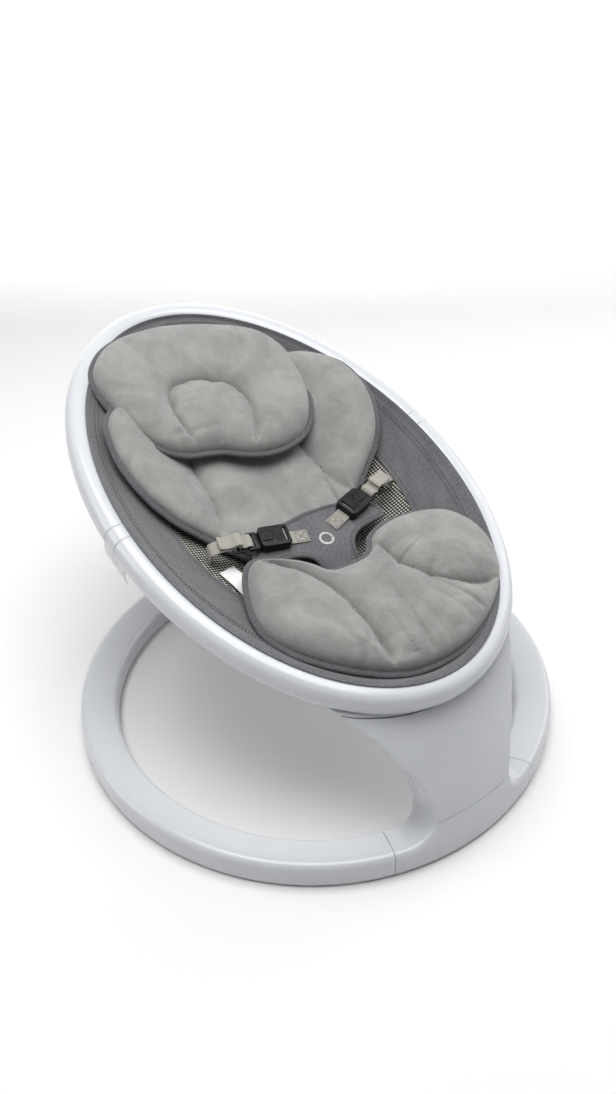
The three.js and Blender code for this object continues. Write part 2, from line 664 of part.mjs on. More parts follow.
// The back cushion thins out toward its top end, under the pillow.
const backTop = (u, v, rim = 1) => {
  const full = lerp(cushion.back, cushion.backEnd, THREE.MathUtils.smoothstep(v / fitV, 160, 225));
  return onSling(u, v) + lerp(Math.min(cushion.rim, full), full, rim);
};
const backOutline = [[86, -96], [97, -62], [104, -20], [138, 50], [166, 112], [160, 160], [134, 205], [92, 230]];
addMesh('back_cushion', pad(backOutline, backTop, onSling), velour, seat);

const seatOutline = [[34, -290], [86, -266], [122, -232], [143, -190], [146, -160], [136, -128], [118, -106]];
const seatTop = (u, v, rim) => lerp(cover.rim + 5, -4, THREE.MathUtils.smoothstep(v / fitV, -290, -110))
  + lerp(0, 6, rim);
const slot = { halfWidth: 30, reach: -132 };
const crotchY = harness.buckleV * (fitV - 1);
const slotTool = box(2 * slot.halfWidth, 80, 120, 0, slot.reach + crotchY + 40, 0);
addMesh('seat_cushion', cut(pad(seatOutline, seatTop, (u, v, rim) =>
  Math.max(onSling(u, v), seatTop(u, v, rim) - cushion.seat)), slotTool), velour, seat);

// The head pillow: a crowned bean with raised ends.
const pillowGrid = (side) => steps(-1, 1, 12).map((t) => steps(-1, 1, 12).map((s) => {
  const [x, y] = disc(s, t);
  const [u, v] = [x * pillow.halfWidth * fitU, (pillow.v + y * pillow.halfLength) * fitV];
  const level = pillow.level + pillow.wing * x ** 2 + pillow.wing * Math.max(y, 0) ** 2;
  const crown = pillow.crown * Math.sqrt(Math.max(0, 1 - x ** 2 - y ** 2));
  const bottom = Math.max(level - pillow.rim / 2 - crown, backTop(u, v) + pillow.clearance);
  return vec(u, v, side > 0 ? Math.max(level + pillow.rim / 2 + crown, bottom + pillow.rim) : bottom);
}));
addMesh('head_pillow', slab(pillowGrid(1), pillowGrid(-1)), velour, seat);

// ---------------------------------------------------------------- waist harness

const padBottom = harness.padTop - harness.padThickness;
const crotchShape = new THREE.Shape();
crotchShape.moveTo(-25, -130);
crotchShape.lineTo(-25, -108);
crotchShape.quadraticCurveTo(-34, -98, -88, -92);
crotchShape.quadraticCurveTo(-95, -82, -88, -70);
crotchShape.quadraticCurveTo(-40, -44, 0, -46);
crotchShape.quadraticCurveTo(40, -44, 88, -70);
crotchShape.quadraticCurveTo(95, -82, 88, -92);
crotchShape.quadraticCurveTo(34, -98, 25, -108);
crotchShape.lineTo(25, -130);
crotchShape.closePath();
addMesh('crotch_pad', new THREE.ExtrudeGeometry(crotchShape,
  { depth: harness.padThickness, bevelEnabled: false, curveSegments: 8 }).translate(0, crotchY, padBottom), heather,
seat);

const buckleBottom = harness.padTop + GAP;
const socket = { floor: buckleBottom + 2.2 };
socket.ceiling = socket.floor + harness.socketHeight;
const prong = { bottom: socket.floor + GAP, thickness: 2.6, reach: harness.socketDepth - 2 };
const button = { bottom: prong.bottom + prong.thickness + GAP + harness.buttonTravel };
button.top = buckleBottom + harness.bodyHeight + 0.8;
const adjuster = { start: harness.bodyLength / 2 + 19 };
adjuster.end = adjuster.start + harness.adjusterLength;

function roundedPlate(length, width, thickness, cx, z, corner) {
  const shape = new THREE.Shape();
  const [a, b] = [length / 2, width / 2];
  shape.moveTo(-a + corner, -b);
  shape.lineTo(a - corner, -b);
  shape.quadraticCurveTo(a, -b, a, -b + corner);
  shape.lineTo(a, b - corner);
  shape.quadraticCurveTo(a, b, a - corner, b);
  shape.lineTo(-a + corner, b);
  shape.quadraticCurveTo(-a, b, -a, b - corner);
  shape.lineTo(-a, -b + corner);
  shape.quadraticCurveTo(-a, -b, -a + corner, -b);
  return new THREE.ExtrudeGeometry(shape, { depth: thickness, bevelEnabled: false, curveSegments: 3 })
    .translate(cx, 0, z);
}

// One side of the harness. Local x points outward along the strap, the buckle's middle is at zero.
function harnessSide(name, side) {
  const frame = new THREE.Group();
  frame.position.set(side * harness.buckleU, harness.buckleV * fitV, 0);
  const turn = rad(harness.turn);
  frame.rotation.z = side > 0 ? turn : Math.PI - turn;
  seat.add(frame);
  const half = harness.bodyLength / 2;

  const socketTool = box(harness.socketDepth + 2, harness.socketWidth, harness.socketHeight,
    half - harness.socketDepth / 2 + 1, 0, (socket.floor + socket.ceiling) / 2);
  const buttonX = half - harness.buttonSize / 2 - 1.5;
  const buttonTool = box(harness.buttonSize + 2 * GAP, harness.buttonSize + 2 * GAP, 20, buttonX, 0,
    socket.ceiling + 9);
  addMesh(`buckle_body_${name}`, cut(roundedPlate(harness.bodyLength, harness.bodyWidth, harness.bodyHeight, 0,
    buckleBottom, 4), socketTool, buttonTool), blackPlastic, frame);
  addMesh(`buckle_button_${name}`, box(harness.buttonSize, harness.buttonSize, button.top - button.bottom,
    buttonX, 0, (button.top + button.bottom) / 2), blackPlastic, frame);

  const prongLength = prong.reach + 1;
  const grip = { from: half + 0.6, to: half + 15 };
  const tongue = join(
    box(prongLength + 1, harness.socketWidth - 2, prong.thickness, half + 1.1 - prongLength / 2, 0,
      prong.bottom + prong.thickness / 2),
    roundedPlate(grip.to - grip.from, harness.adjusterWidth, 5, (grip.from + grip.to) / 2, prong.bottom, 2));
  const tongueSlot = box(5, harness.webWidth + 1.6, 20, grip.to - 5.5, 0, prong.bottom);
  addMesh(`buckle_tongue_${name}`, cut(tongue, tongueSlot), blackPlastic, frame);

  const frameSlot = (x) => box(4, harness.webWidth + 1.6, 20, x, 0, prong.bottom);
  const middle = (adjuster.start + adjuster.end) / 2;
  addMesh(`strap_adjuster_${name}`, cut(roundedPlate(harness.adjusterLength, harness.adjusterWidth, 3, middle,
    prong.bottom, 2), frameSlot(middle - 3.6), frameSlot(middle + 3.6)), blackPlastic, frame);

  const strapZ = prong.bottom + 3 + GAP + harness.webThickness / 2;
  addMesh(`waist_strap_${name}`, box(adjuster.end + 6 - adjuster.start + 2, harness.webWidth, harness.webThickness,
    middle + 3, 0, strapZ), webbing, frame);
  const tabStart = -half - 22;
  addMesh(`crotch_tab_${name}`, box(-half - GAP - tabStart, harness.webWidth, harness.webThickness,
    (tabStart - half - GAP) / 2, 0, buckleBottom + harness.webThickness / 2), webbing, frame);
  const anchorX = adjuster.end + 24;
  const anchorBottom = -21;
  addMesh(`strap_anchor_${name}`, box(harness.webThickness, harness.webWidth, strapZ - anchorBottom, anchorX, 0,
    (strapZ + anchorBottom) / 2), webbing, frame);
}
harnessSide('left', -1);
harnessSide('right', 1);

// ---------------------------------------------------------------- small sewn pieces

const label = { width: 48, drop: 30, thickness: 0.8 };
const labelAngle = -collarAngle;
const labelPlace = ringCentre(labelAngle).addScaledVector(ringOutward(labelAngle),
  ring.sectionHalfWidth * 0.4);
addMesh('care_label', box(label.thickness, label.width, label.drop), labelCloth, seat)
  .position.set(labelPlace.x, labelPlace.y, -ring.sectionHalfHeight - GAP - label.drop / 2);

const loop = { u: 0, v: 291 * fitV, length: 14, width: 7, thickness: 1.6 };
const loopSlope = Math.atan2(slingHeight(loop.u, loop.v + 5) - slingHeight(loop.u, loop.v - 5), 10);
const loopMesh = addMesh('pillow_loop', box(loop.width, loop.length, loop.thickness), heather, seat);
loopMesh.position.set(loop.u, loop.v, slingHeight(loop.u, loop.v) + loop.thickness + GAP);
loopMesh.rotation.x = loopSlope;

// ---------------------------------------------------------------- origin: middle of the footprint

part.updateMatrixWorld(true);
const bounds = new THREE.Box3().setFromObject(part, true);
const footprint = bounds.getCenter(vec(0, 0, 0));
part.position.set(-footprint.x, -footprint.y, -bounds.min.z);
part.updateMatrixWorld(true);

export default part;
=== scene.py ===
"""Baby swing: fine shells, padded fabric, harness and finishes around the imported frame.

Lengths are metres. The seat has its own frame: u across, v toward the head end, n out of the
ring's plane.
"""
from __future__ import annotations

import json
import logging
import math
from dataclasses import dataclass, field
from enum import Enum
from typing import Callable, Sequence

import bmesh
import bpy
import numpy as np
from mathutils import Euler, Matrix, Vector


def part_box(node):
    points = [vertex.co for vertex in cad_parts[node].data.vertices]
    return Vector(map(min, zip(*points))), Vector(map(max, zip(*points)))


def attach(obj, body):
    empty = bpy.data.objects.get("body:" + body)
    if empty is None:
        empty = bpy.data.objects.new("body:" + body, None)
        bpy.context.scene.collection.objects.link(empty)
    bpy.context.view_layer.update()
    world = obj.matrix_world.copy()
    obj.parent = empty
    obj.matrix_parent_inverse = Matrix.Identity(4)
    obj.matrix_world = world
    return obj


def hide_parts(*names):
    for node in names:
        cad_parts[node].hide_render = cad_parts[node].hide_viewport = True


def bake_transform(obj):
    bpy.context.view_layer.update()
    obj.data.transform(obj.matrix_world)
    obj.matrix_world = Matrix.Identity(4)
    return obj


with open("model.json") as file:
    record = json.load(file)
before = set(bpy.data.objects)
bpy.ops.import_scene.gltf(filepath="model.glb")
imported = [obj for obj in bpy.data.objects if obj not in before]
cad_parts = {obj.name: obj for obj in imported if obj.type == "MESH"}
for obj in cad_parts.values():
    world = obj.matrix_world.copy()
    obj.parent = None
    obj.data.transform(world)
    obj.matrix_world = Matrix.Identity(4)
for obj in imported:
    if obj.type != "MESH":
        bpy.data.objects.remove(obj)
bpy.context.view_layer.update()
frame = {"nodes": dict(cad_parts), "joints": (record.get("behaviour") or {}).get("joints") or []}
LOG = logging.getLogger("baby_swing")
MM = 0.001
Array = np.ndarray
Height = Callable[[Array, Array], Array]


class Body(str, Enum):
    """The bodies of the frame that new pieces ride on."""

    BASE = "base"
    SEAT = "seat"
    BUTTON_LEFT = "button_left"
    BUTTON_RIGHT = "button_right"
    TONGUE_LEFT = "tongue_left"
    TONGUE_RIGHT = "tongue_right"


# ------------------------------------------------------------------ curves


def smooth_step(low: float, high: float, value: Array) -> Array:
    """Returns 0 below low, 1 above high and a smooth cubic between them."""
    t = np.clip((np.asarray(value, float) - low) / (high - low), 0.0, 1.0)
    return t * t * (3 - 2 * t)


def mix(a: Array, b: Array, t: Array) -> Array:
    """Returns the straight blend a + (b - a) t."""
    return a + (b - a) * t


def spline(points: Sequence[Sequence[float]], count: int, closed: bool = False) -> Array:
    """Samples a Catmull-Rom curve: each span is the cubic with slopes taken from its neighbours.

    Args:
        points: the points that the curve passes through.
        count: how many samples, spaced evenly along the curve.
        closed: whether the curve runs back to its first point.

    Returns:
        count points; a closed curve does not repeat its first.
    """
    p = np.asarray(points, float)
    if closed:
        p = np.concatenate([p[-1:], p, p[:2]])
    else:
        p = np.concatenate([2 * p[:1] - p[1:2], p, 2 * p[-1:] - p[-2:-1]])
    t = np.linspace(0, 1, 33)[:-1, None, None]
    a, b, c, d = p[:-3], p[1:-2], p[2:-1], p[3:]
    bend, twist = 2 * a - 5 * b + 4 * c - d, 3 * b - a - 3 * c + d
    span = 0.5 * (2 * b + (c - a) * t + bend * t**2 + twist * t**3)
    dense = np.concatenate([span.transpose(1, 0, 2).reshape(-1, p.shape[1]), p[-2:-1]])
    length = run_along(dense)
    at = np.linspace(0, length[-1], count + 1 if closed else count)
    out = np.stack([np.interp(at, length, dense[:, k]) for k in range(p.shape[1])], axis=1)
    return out[:-1] if closed else out


def distance_to(points: Array, line: Array) -> tuple[Array, Array]:
    """Returns each point's distance to a polyline, and the nearest place on it."""
    a, d = line[:-1], np.diff(line, axis=0)
    rel = points[:, None, :] - a[None]
    t = np.clip((rel * d).sum(-1) / np.maximum((d * d).sum(-1), 1e-18), 0, 1)
    near = a + t[..., None] * d
    gap = np.linalg.norm(points[:, None, :] - near, axis=2)
    best = gap.argmin(1)
    rows = np.arange(len(points))
    return gap[rows, best], near[rows, best]


def unit(v: Array) -> Array:
    """Returns vectors scaled to length one."""
    return v / np.maximum(np.linalg.norm(v, axis=-1, keepdims=True), 1e-12)


def run_along(path: Array) -> Array:
    """Returns the length of the way along a path up to each of its points."""
    return np.concatenate([[0], np.cumsum(np.linalg.norm(np.diff(path, axis=0), axis=1))])


def around(count: int) -> Array:
    """Returns evenly spaced angles of a full turn, without its end."""
    return np.linspace(0, 2 * math.pi, count, endpoint=False)


def soft_power(wave: Array, power: float) -> Array:
    """Returns a wave raised to a power with its sign kept, for rounded square sections."""
    return np.sign(wave) * np.abs(wave) ** power


def plan_points(points: Sequence[tuple[float, float]]) -> list[tuple[float, float]]:
    """Turns plan points from millimetres to metres."""
    return [(u * MM, v * MM) for u, v in points]


def close_row(grid: Array) -> Array:
    """Repeats a grid's first column after its last."""
    return np.concatenate([grid, grid[:, :1]], axis=1)


def quad_corners(grid: Array) -> Array:
    """Returns the four corners of every quad of a grid, in order."""
    corners = [grid[:-1, :-1], grid[1:, :-1], grid[1:, 1:], grid[:-1, 1:]]
    return np.stack(corners, axis=2).reshape(-1, 4, *grid.shape[2:])


# ------------------------------------------------------------------ meshes


class MeshKit:
    """Collects grids, bridges and fans into one mesh, with a UV for each face corner in metres."""

    def __init__(self) -> None:
        """Starts an empty mesh."""
        self.points: list[Array] = []
        self.faces: list[Array] = []
        self.corners: list[Array] = []
        self.count = 0

    def add(self, points: Array) -> Array:
        """Adds points and returns their numbers in the same layout."""
        flat = points.reshape(-1, 3)
        numbers = self.count + np.arange(len(flat)).reshape(points.shape[:-1])
        self.points.append(flat)
        self.count += len(flat)
        return numbers

    def quads(self, numbers: Array, uv: Array | None = None) -> None:
        """Joins a grid of point numbers with quads; uv has the same layout."""
        faces = quad_corners(numbers)
        self.faces.append(faces)
        self.corners.append(np.zeros((*faces.shape, 2)) if uv is None else quad_corners(uv))

    def grid(self, points: Array, uv: Array | None = None, wrap: bool = False) -> Array:
        """Adds a sheet; with wrap each row closes on itself, and uv then has one more column."""
        numbers = self.add(points)
        self.quads(close_row(numbers) if wrap else numbers, uv)
        return numbers

    def bridge(self, one: Array, other: Array, closed: bool = False) -> None:
        """Joins two equal chains of points with quads."""
        pair = np.stack([one, other])
        self.quads(close_row(pair) if closed else pair)

    def fan(self, loop: Array) -> None:
        """Closes a loop with triangles to its middle point."""
        points = np.concatenate(self.points)
        middle = int(self.add(points[loop].mean(0, keepdims=True))[0])
        ends = [np.full_like(loop, middle), np.full_like(loop, -1)]
        faces = np.stack([loop, np.roll(loop, -1), *ends], axis=1)
        self.faces.append(faces)
        self.corners.append(np.zeros((len(faces), 4, 2)))

    def slab(self, upper: Array, lower: Array, uv: Array | None = None, wrap: bool = False) -> None:
        """Adds the closed solid between two equal sheets."""
        a, b = self.grid(upper, uv, wrap), self.grid(lower, uv, wrap)
        self.bridge(a[0], b[0], wrap)
        self.bridge(a[-1], b[-1], wrap)
        if not wrap:
            self.bridge(a[:, 0], b[:, 0])
            self.bridge(a[:, -1], b[:, -1])

    def tube(self, loops: Array, uv: Array | None = None) -> None:
        """Adds a tube through closed loops and closes both ends with fans."""
        numbers = self.grid(loops, uv, wrap=True)
        self.fan(numbers[0])
        self.fan(numbers[-1])

    def pad(self, upper: Array, lower: Array, plans: tuple[Array, Array]) -> None:
        """Adds a pad from rings of top and bottom points, joined at the rim, with their plans as UV."""
        a = self.grid(upper, close_row(plans[0]), wrap=True)
        b = self.grid(lower, close_row(plans[1]), wrap=True)
        self.bridge(a[0], b[0], closed=True)
        self.fan(a[-1])
        self.fan(b[-1])

    def loop_tube(self, loops: Array) -> None:
        """Adds a tube whose last loop joins its first, with a UV in real lengths."""
        numbers = self.add(loops)
        closed = np.concatenate([numbers, numbers[:1]])
        self.quads(close_row(closed), sheet_uv(np.concatenate([loops, loops[:1]]), wrap=True))

    def build(self, name: str) -> bpy.types.Object:
        """Makes the object, smooth shaded with its faces pointing out."""
        points = np.concatenate(self.points)
        faces, corners = np.concatenate(self.faces), np.concatenate(self.corners)
        mesh = bpy.data.meshes.new(name)
        mesh.from_pydata(points.tolist(), [], [[int(i) for i in f if i >= 0] for f in faces])
        layer = mesh.uv_layers.new(name="UVMap")
        layer.data.foreach_set("uv", corners[faces >= 0].astype(np.float32).ravel())
        work = bmesh.new()
        work.from_mesh(mesh)
        bmesh.ops.recalc_face_normals(work, faces=work.faces)
        work.to_mesh(mesh)
        work.free()
        mesh.polygons.foreach_set("use_smooth", [True] * len(mesh.polygons))
        made = bpy.data.objects.new(name, mesh)
        bpy.context.scene.collection.objects.link(made)
        return made


def sharpen(piece: bpy.types.Object, degrees: float = 40) -> None:
    """Keeps edges steeper than an angle crisp."""
    edges = bmesh.new()
    edges.from_mesh(piece.data)
    for edge in edges.edges:
        edge.smooth = edge.calc_face_angle(0) < math.radians(degrees)
    edges.to_mesh(piece.data)
    edges.free()


def sheet_uv(points: Array, wrap: bool = False) -> Array:
    """Measures a sheet: U runs along each row and V down the columns, as real lengths."""
    p = close_row(points) if wrap else points
    across = np.linalg.norm(np.diff(p, axis=1), axis=2)
    down = np.linalg.norm(np.diff(p, axis=0), axis=2)
    u = np.concatenate([np.zeros((len(p), 1)), np.cumsum(across, axis=1)], axis=1)
    v = np.concatenate([np.zeros((1, p.shape[1])), np.cumsum(down, axis=0)], axis=0)
    return np.stack([u - u[:, -1:] / 2, np.broadcast_to(v.mean(1, keepdims=True), u.shape)], axis=2)


# ------------------------------------------------------------------ finishes


class Nodes:
    """A short way to write a material's node tree."""

    def __init__(self, name: str) -> None:
        """Makes a material with one Principled shader."""
        self.material = bpy.data.materials.new(name)
        self.material.use_nodes = True
        self.tree = self.material.node_tree
        self.shader = self.tree.nodes["Principled BSDF"]

    def node(self, kind: str, inputs: dict | None = None, **settings: object) -> bpy.types.Node:
        """Adds a node; inputs are values or sockets of other nodes."""
        made = self.tree.nodes.new(kind)
        for key, value in settings.items():
            setattr(made, key, value)
        for key, value in (inputs or {}).items():
            self.put(made.inputs[key], value)
        return made

    def put(self, socket: bpy.types.NodeSocket, value: object) -> None:
        """Sets a socket to a value, or links it."""
        if isinstance(value, bpy.types.NodeSocket):
            self.tree.links.new(value, socket)
        else:
            socket.default_value = value

    def place(self, scale: Sequence[float] = (1, 1, 1), surface: bool = False) -> bpy.types.NodeSocket:
        """Returns scaled Object coordinates, or the piece's own UV."""
        source = self.node("ShaderNodeTexCoord").outputs["UV" if surface else "Object"]
        return self.node("ShaderNodeMapping", {"Vector": source, "Scale": tuple(scale)}).outputs[0]

    def noise(self, vector: bpy.types.NodeSocket, scale: float, detail: float = 2, rough: float = 0.5,
              twist: float = 0) -> bpy.types.NodeSocket:
        """Returns a noise value."""
        return self.node("ShaderNodeTexNoise", {"Vector": vector, "Scale": scale, "Detail": detail,
                                                "Roughness": rough, "Distortion": twist}).outputs[0]

    def math(self, operation: str, a: object, b: object = 0.0) -> bpy.types.NodeSocket:
        """Returns a sum, product or other operation on two values."""
        return self.node("ShaderNodeMath", {0: a, 1: b}, operation=operation).outputs[0]

    def span(self, value: object, low: float, high: float, to_low: float = 0,
             to_high: float = 1) -> bpy.types.NodeSocket:
        """Returns a value moved from one range to another."""
        inputs = {"Value": value, 1: low, 2: high, 3: to_low, 4: to_high}
        return self.node("ShaderNodeMapRange", inputs).outputs[0]

    def wave(self, vector: bpy.types.NodeSocket, scale: float, direction: str,
             twist: float = 0) -> bpy.types.NodeSocket:
        """Returns the value of sine bands."""
        inputs = {"Vector": vector, "Scale": scale, "Distortion": twist}
        return self.node("ShaderNodeTexWave", inputs, bands_direction=direction).outputs[1]

    def blend(self, amount: object, a: object, b: object) -> bpy.types.NodeSocket:
        """Returns a blend of two colours."""
        made = self.node("ShaderNodeMix", data_type="RGBA")
        self.put(made.inputs[0], amount)
        for socket, value in ((made.inputs[6], a), (made.inputs[7], b)):
            self.put(socket, (*value, 1) if isinstance(value, tuple) else value)
        return made.outputs[2]

    def bump(self, height: bpy.types.NodeSocket, distance: float) -> None:
        """Roughens the surface by a height."""
        made = self.node("ShaderNodeBump", {"Height": height, "Distance": distance, "Strength": 1})
        self.put(self.shader.inputs["Normal"], made.outputs[0])

    def finish(self, **values: object) -> bpy.types.Material:
        """Sets the shader's own sockets and returns the material; underscores stand for spaces."""
        for key, value in values.items():
            value = (*value, 1) if isinstance(value, tuple) and len(value) == 3 else value
            self.put(self.shader.inputs[key.replace("_", " ")], value)
        return self.material


@dataclass(frozen=True)
class Gloss:
    """Glossy injection moulding: faint colour drift, uneven polish and a slight orange peel."""

    name: str
    colour: tuple[float, float, float]
    polish: tuple[float, float] = (0.15, 0.24)
    peel: float = 0.00006

    def make(self) -> bpy.types.Material:
        """Builds the material."""
        n = Nodes(self.name)
        at = n.place()
        drift = n.noise(at, 9, 3)
        shade = tuple(c * 0.955 for c in self.colour)
        n.bump(n.noise(at, 260, 2), self.peel)
        return n.finish(Base_Color=n.blend(n.span(drift, 0.3, 0.7), shade, self.colour),
                        Roughness=n.span(n.noise(at, 34, 4), 0.3, 0.7, *self.polish), IOR=1.5)


@dataclass(frozen=True)
class Moulded:
    """Matt or satin moulded plastic or rubber with a fine spark grain."""

    name: str
    colour: tuple[float, float, float]
    roughness: float = 0.45
    grain: float = 0.00005
    metal: float = 0.0
    shine: float = 0.5

    def make(self) -> bpy.types.Material:
        """Builds the material."""
        n = Nodes(self.name)
        at = n.place()
        light = tuple(min(1.0, c * 1.35 + 0.004) for c in self.colour)
        n.bump(n.noise(at, 1600, 3), self.grain)
        colour = n.blend(n.span(n.noise(at, 60, 5), 0.35, 0.75), self.colour, light)
        polish = n.span(n.noise(at, 90, 3), 0.3, 0.7, self.roughness - 0.06, self.roughness + 0.08)
        return n.finish(Base_Color=colour, Roughness=polish, Metallic=self.metal,
                        Specular_IOR_Level=self.shine)


@dataclass(frozen=True)
class Heather:
    """Two-tone woven melange: light and dark flecks along warp and weft, over a plain weave."""

    name: str
    dark: tuple[float, float, float]
    light: tuple[float, float, float]
    pitch: float = 0.0009

    def make(self) -> bpy.types.Material:
        """Builds the material on the piece's own UV, in metres."""
        n = Nodes(self.name)
        warp = n.noise(n.place((1500, 260, 1), True), 1, 3, 0.6)
        weft = n.noise(n.place((260, 1500, 1), True), 1, 3, 0.6)
        fleck = n.math("ADD", warp, weft)
        cloud = n.noise(n.place((1, 1, 1), True), 26, 3)
        drift = n.span(cloud, 0.3, 0.7, -0.12, 0.12)
        amount = n.math("ADD", n.span(fleck, 0.72, 1.28, -0.1, 1.1), drift)
        threads = 1 / self.pitch / 3.14
        lines = [n.wave(n.place((1, 1, 1), True), threads, direction) for direction in ("X", "Y")]
        weave = n.math("MULTIPLY", *lines)
        n.bump(n.math("ADD", weave, n.math("MULTIPLY", fleck, 0.6)), 0.00022)
        return n.finish(Base_Color=n.blend(amount, self.dark, self.light), Roughness=0.92,
                        Sheen_Weight=0.25, Sheen_Roughness=0.5, Specular_IOR_Level=0.2)


@dataclass(frozen=True)
class Velour:
    """Short brushed pile: soft patches where the nap lies another way, and a fine felt grain."""

    name: str
    colour: tuple[float, float, float]

    def make(self) -> bpy.types.Material:
        """Builds the material."""
        n = Nodes(self.name)
        at = n.place()
        nap = n.noise(at, 17, 5, 0.62, 1.1)
        streak = n.noise(n.place((60, 22, 60)), 1, 4, 0.6, 0.6)
        pile = n.noise(at, 1500, 3, 0.7)
        fine = n.noise(at, 420, 4, 0.65)
        amount = n.math("ADD", n.span(nap, 0.38, 0.62, 0, 0.6), n.span(streak, 0.35, 0.68, 0, 0.3))
        amount = n.math("ADD", amount, n.span(pile, 0.3, 0.7, -0.14, 0.14))
        amount = n.math("ADD", amount, n.span(fine, 0.35, 0.65, -0.12, 0.12))
        low = tuple(c * 0.79 for c in self.colour)
        high = tuple(min(1.0, c * 1.14) for c in self.colour)
        n.bump(n.math("ADD", pile, fine), 0.0005)
        return n.finish(Base_Color=n.blend(amount, low, high), Roughness=0.88, Sheen_Weight=0.42,
                        Sheen_Roughness=0.38, Specular_IOR_Level=0.15)


@dataclass(frozen=True)
class AirMesh:
    """Knitted air mesh: staggered round openings in a dark net, painted pale as light seen through them."""

    name: str
    thread: tuple[float, float, float]
    opening: tuple[float, float, float]
    pitch: float = 0.0036

    def make(self) -> bpy.types.Material:
        """Builds the material; an opening is where the sum of two cosines is high, and it takes the painted
        light colour.
        """
        n = Nodes(self.name)
        turn = 2 * math.pi / self.pitch
        parts = n.node("ShaderNodeSeparateXYZ", {0: n.place((turn, turn, 1), True)})
        wave = [n.math("COSINE", parts.outputs[k]) for k in (0, 1)]
        both = n.math("ADD", wave[0], wave[1])
        hole = n.span(both, 0.35, 0.7)
        fuzz = n.noise(n.place((1, 1, 1), True), 900, 3)
        tone = n.blend(n.span(fuzz, 0.3, 0.7), self.thread, tuple(c * 2.4 for c in self.thread))
        n.bump(n.math("SUBTRACT", 1.0, hole), 0.0006)
        # the openings take the pale colour: painted light of the bright backdrop seen through the holes
        return n.finish(Base_Color=n.blend(hole, tone, self.opening), Roughness=0.7,
                        Specular_IOR_Level=0.3)


@dataclass(frozen=True)
class Webbing:
    """Flat woven band: close ribs across it, a faint diagonal twill and uneven tone."""

    name: str
    colour: tuple[float, float, float]
    rib: float = 0.0011

    def make(self) -> bpy.types.Material:
        """Builds the material; U runs across the band and V along it."""
        n = Nodes(self.name)
        along = n.place((1, 1, 1), True)
        ribs = n.wave(along, 1 / self.rib / 3.14, "Y", 0.6)
        twill = n.wave(along, 1 / self.rib / 5, "DIAGONAL", 0.3)
        tone = n.math("ADD", n.math("MULTIPLY", ribs, 0.6), n.math("MULTIPLY", twill, 0.4))
        tone = n.math("MULTIPLY", tone, n.span(n.noise(along, 500, 3), 0.3, 0.7, 0.75, 1.1))
        n.bump(ribs, 0.00025)
        return n.finish(Base_Color=n.blend(tone, tuple(c * 0.62 for c in self.colour), self.colour),
                        Roughness=0.85, Sheen_Weight=0.15)


@dataclass(frozen=True)
class Tape:
    """Smooth satin tape for labels, with faint blank woven lines."""

    name: str
    colour: tuple[float, float, float]

    def make(self) -> bpy.types.Material:
        """Builds the material."""
        n = Nodes(self.name)
        at = n.place((1, 1, 1), True)
        n.bump(n.wave(at, 700.0, "Y"), 0.00008)
        soil = n.span(n.noise(at, 60, 3), 0.35, 0.7)
        shade = tuple(c * 0.9 for c in self.colour)
        return n.finish(Base_Color=n.blend(soil, shade, self.colour), Roughness=0.6)


class Finishes:
    """Every finish, made once."""

    def __init__(self) -> None:
        """Builds all materials."""
        self.shell = Gloss("white_shell_gloss", (0.56, 0.575, 0.605)).make()
        self.heather = Heather("heather_cloth", (0.06, 0.062, 0.067), (0.185, 0.189, 0.198)).make()
        self.binding = Heather("heather_binding", (0.052, 0.054, 0.059), (0.142, 0.146, 0.154)).make()
        self.velour = Velour("grey_velour", (0.272, 0.271, 0.262)).make()
        # the air mesh's pale second colour is painted light seen through its openings
        self.mesh = AirMesh("black_air_mesh", (0.006, 0.006, 0.007), (0.55, 0.54, 0.46)).make()
        self.webbing = Webbing("beige_webbing", (0.41, 0.39, 0.35)).make()
        # painted seam shade: dark colour for the thin tubes laid along the cushions' seams, standing for
        # the shade in the seam grooves
        self.seam = Moulded("painted_seam_shade", (0.11, 0.11, 0.108), 0.85, 0.00003).make()
        self.thread = Moulded("grey_thread", (0.035, 0.036, 0.04), 0.8, 0.00003).make()
        self.pale_thread = Moulded("pale_thread", (0.6, 0.6, 0.58), 0.8, 0.00003).make()
        self.brown_thread = Moulded("brown_thread", (0.1, 0.085, 0.07), 0.8, 0.00003).make()
        self.black = Moulded("black_buckle", (0.004, 0.004, 0.0045), 0.42, shine=0.28).make()
        self.label = Tape("label_tape", (0.82, 0.82, 0.81)).make()
        self.inner = Moulded("inner_plastic", (0.48, 0.5, 0.53), 0.5).make()
        self.rubber = Moulded("foot_rubber", (0.03, 0.03, 0.032), 0.85, 0.0001).make()
        self.steel = Moulded("ground_steel", (0.6, 0.61, 0.62), 0.3, 0.00002, 1.0).make()
        self.screws = Moulded("black_screws", (0.08, 0.08, 0.085), 0.4, 0.00002, 1.0).make()
        self.copper = Moulded("coil_wire", (0.55, 0.22, 0.09), 0.35, 0.0001, 1.0).make()
        self.board = Moulded("solder_mask", (0.02, 0.11, 0.05), 0.4).make()


def dress(piece: bpy.types.Object, material: bpy.types.Material, body: Body,
          replaced: Sequence[str] = ()) -> bpy.types.Object:
    """Gives a piece its finish and the body it rides on, and hides the nodes it stands for."""
    piece.data.materials.clear()
    piece.data.materials.append(material)
    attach(piece, body.value)
    if replaced:
        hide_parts(*replaced)
    LOG.info("%s: %d points, rides on %s", piece.name, len(piece.data.vertices), body.value)
    return piece


# ------------------------------------------------------------------ floor base


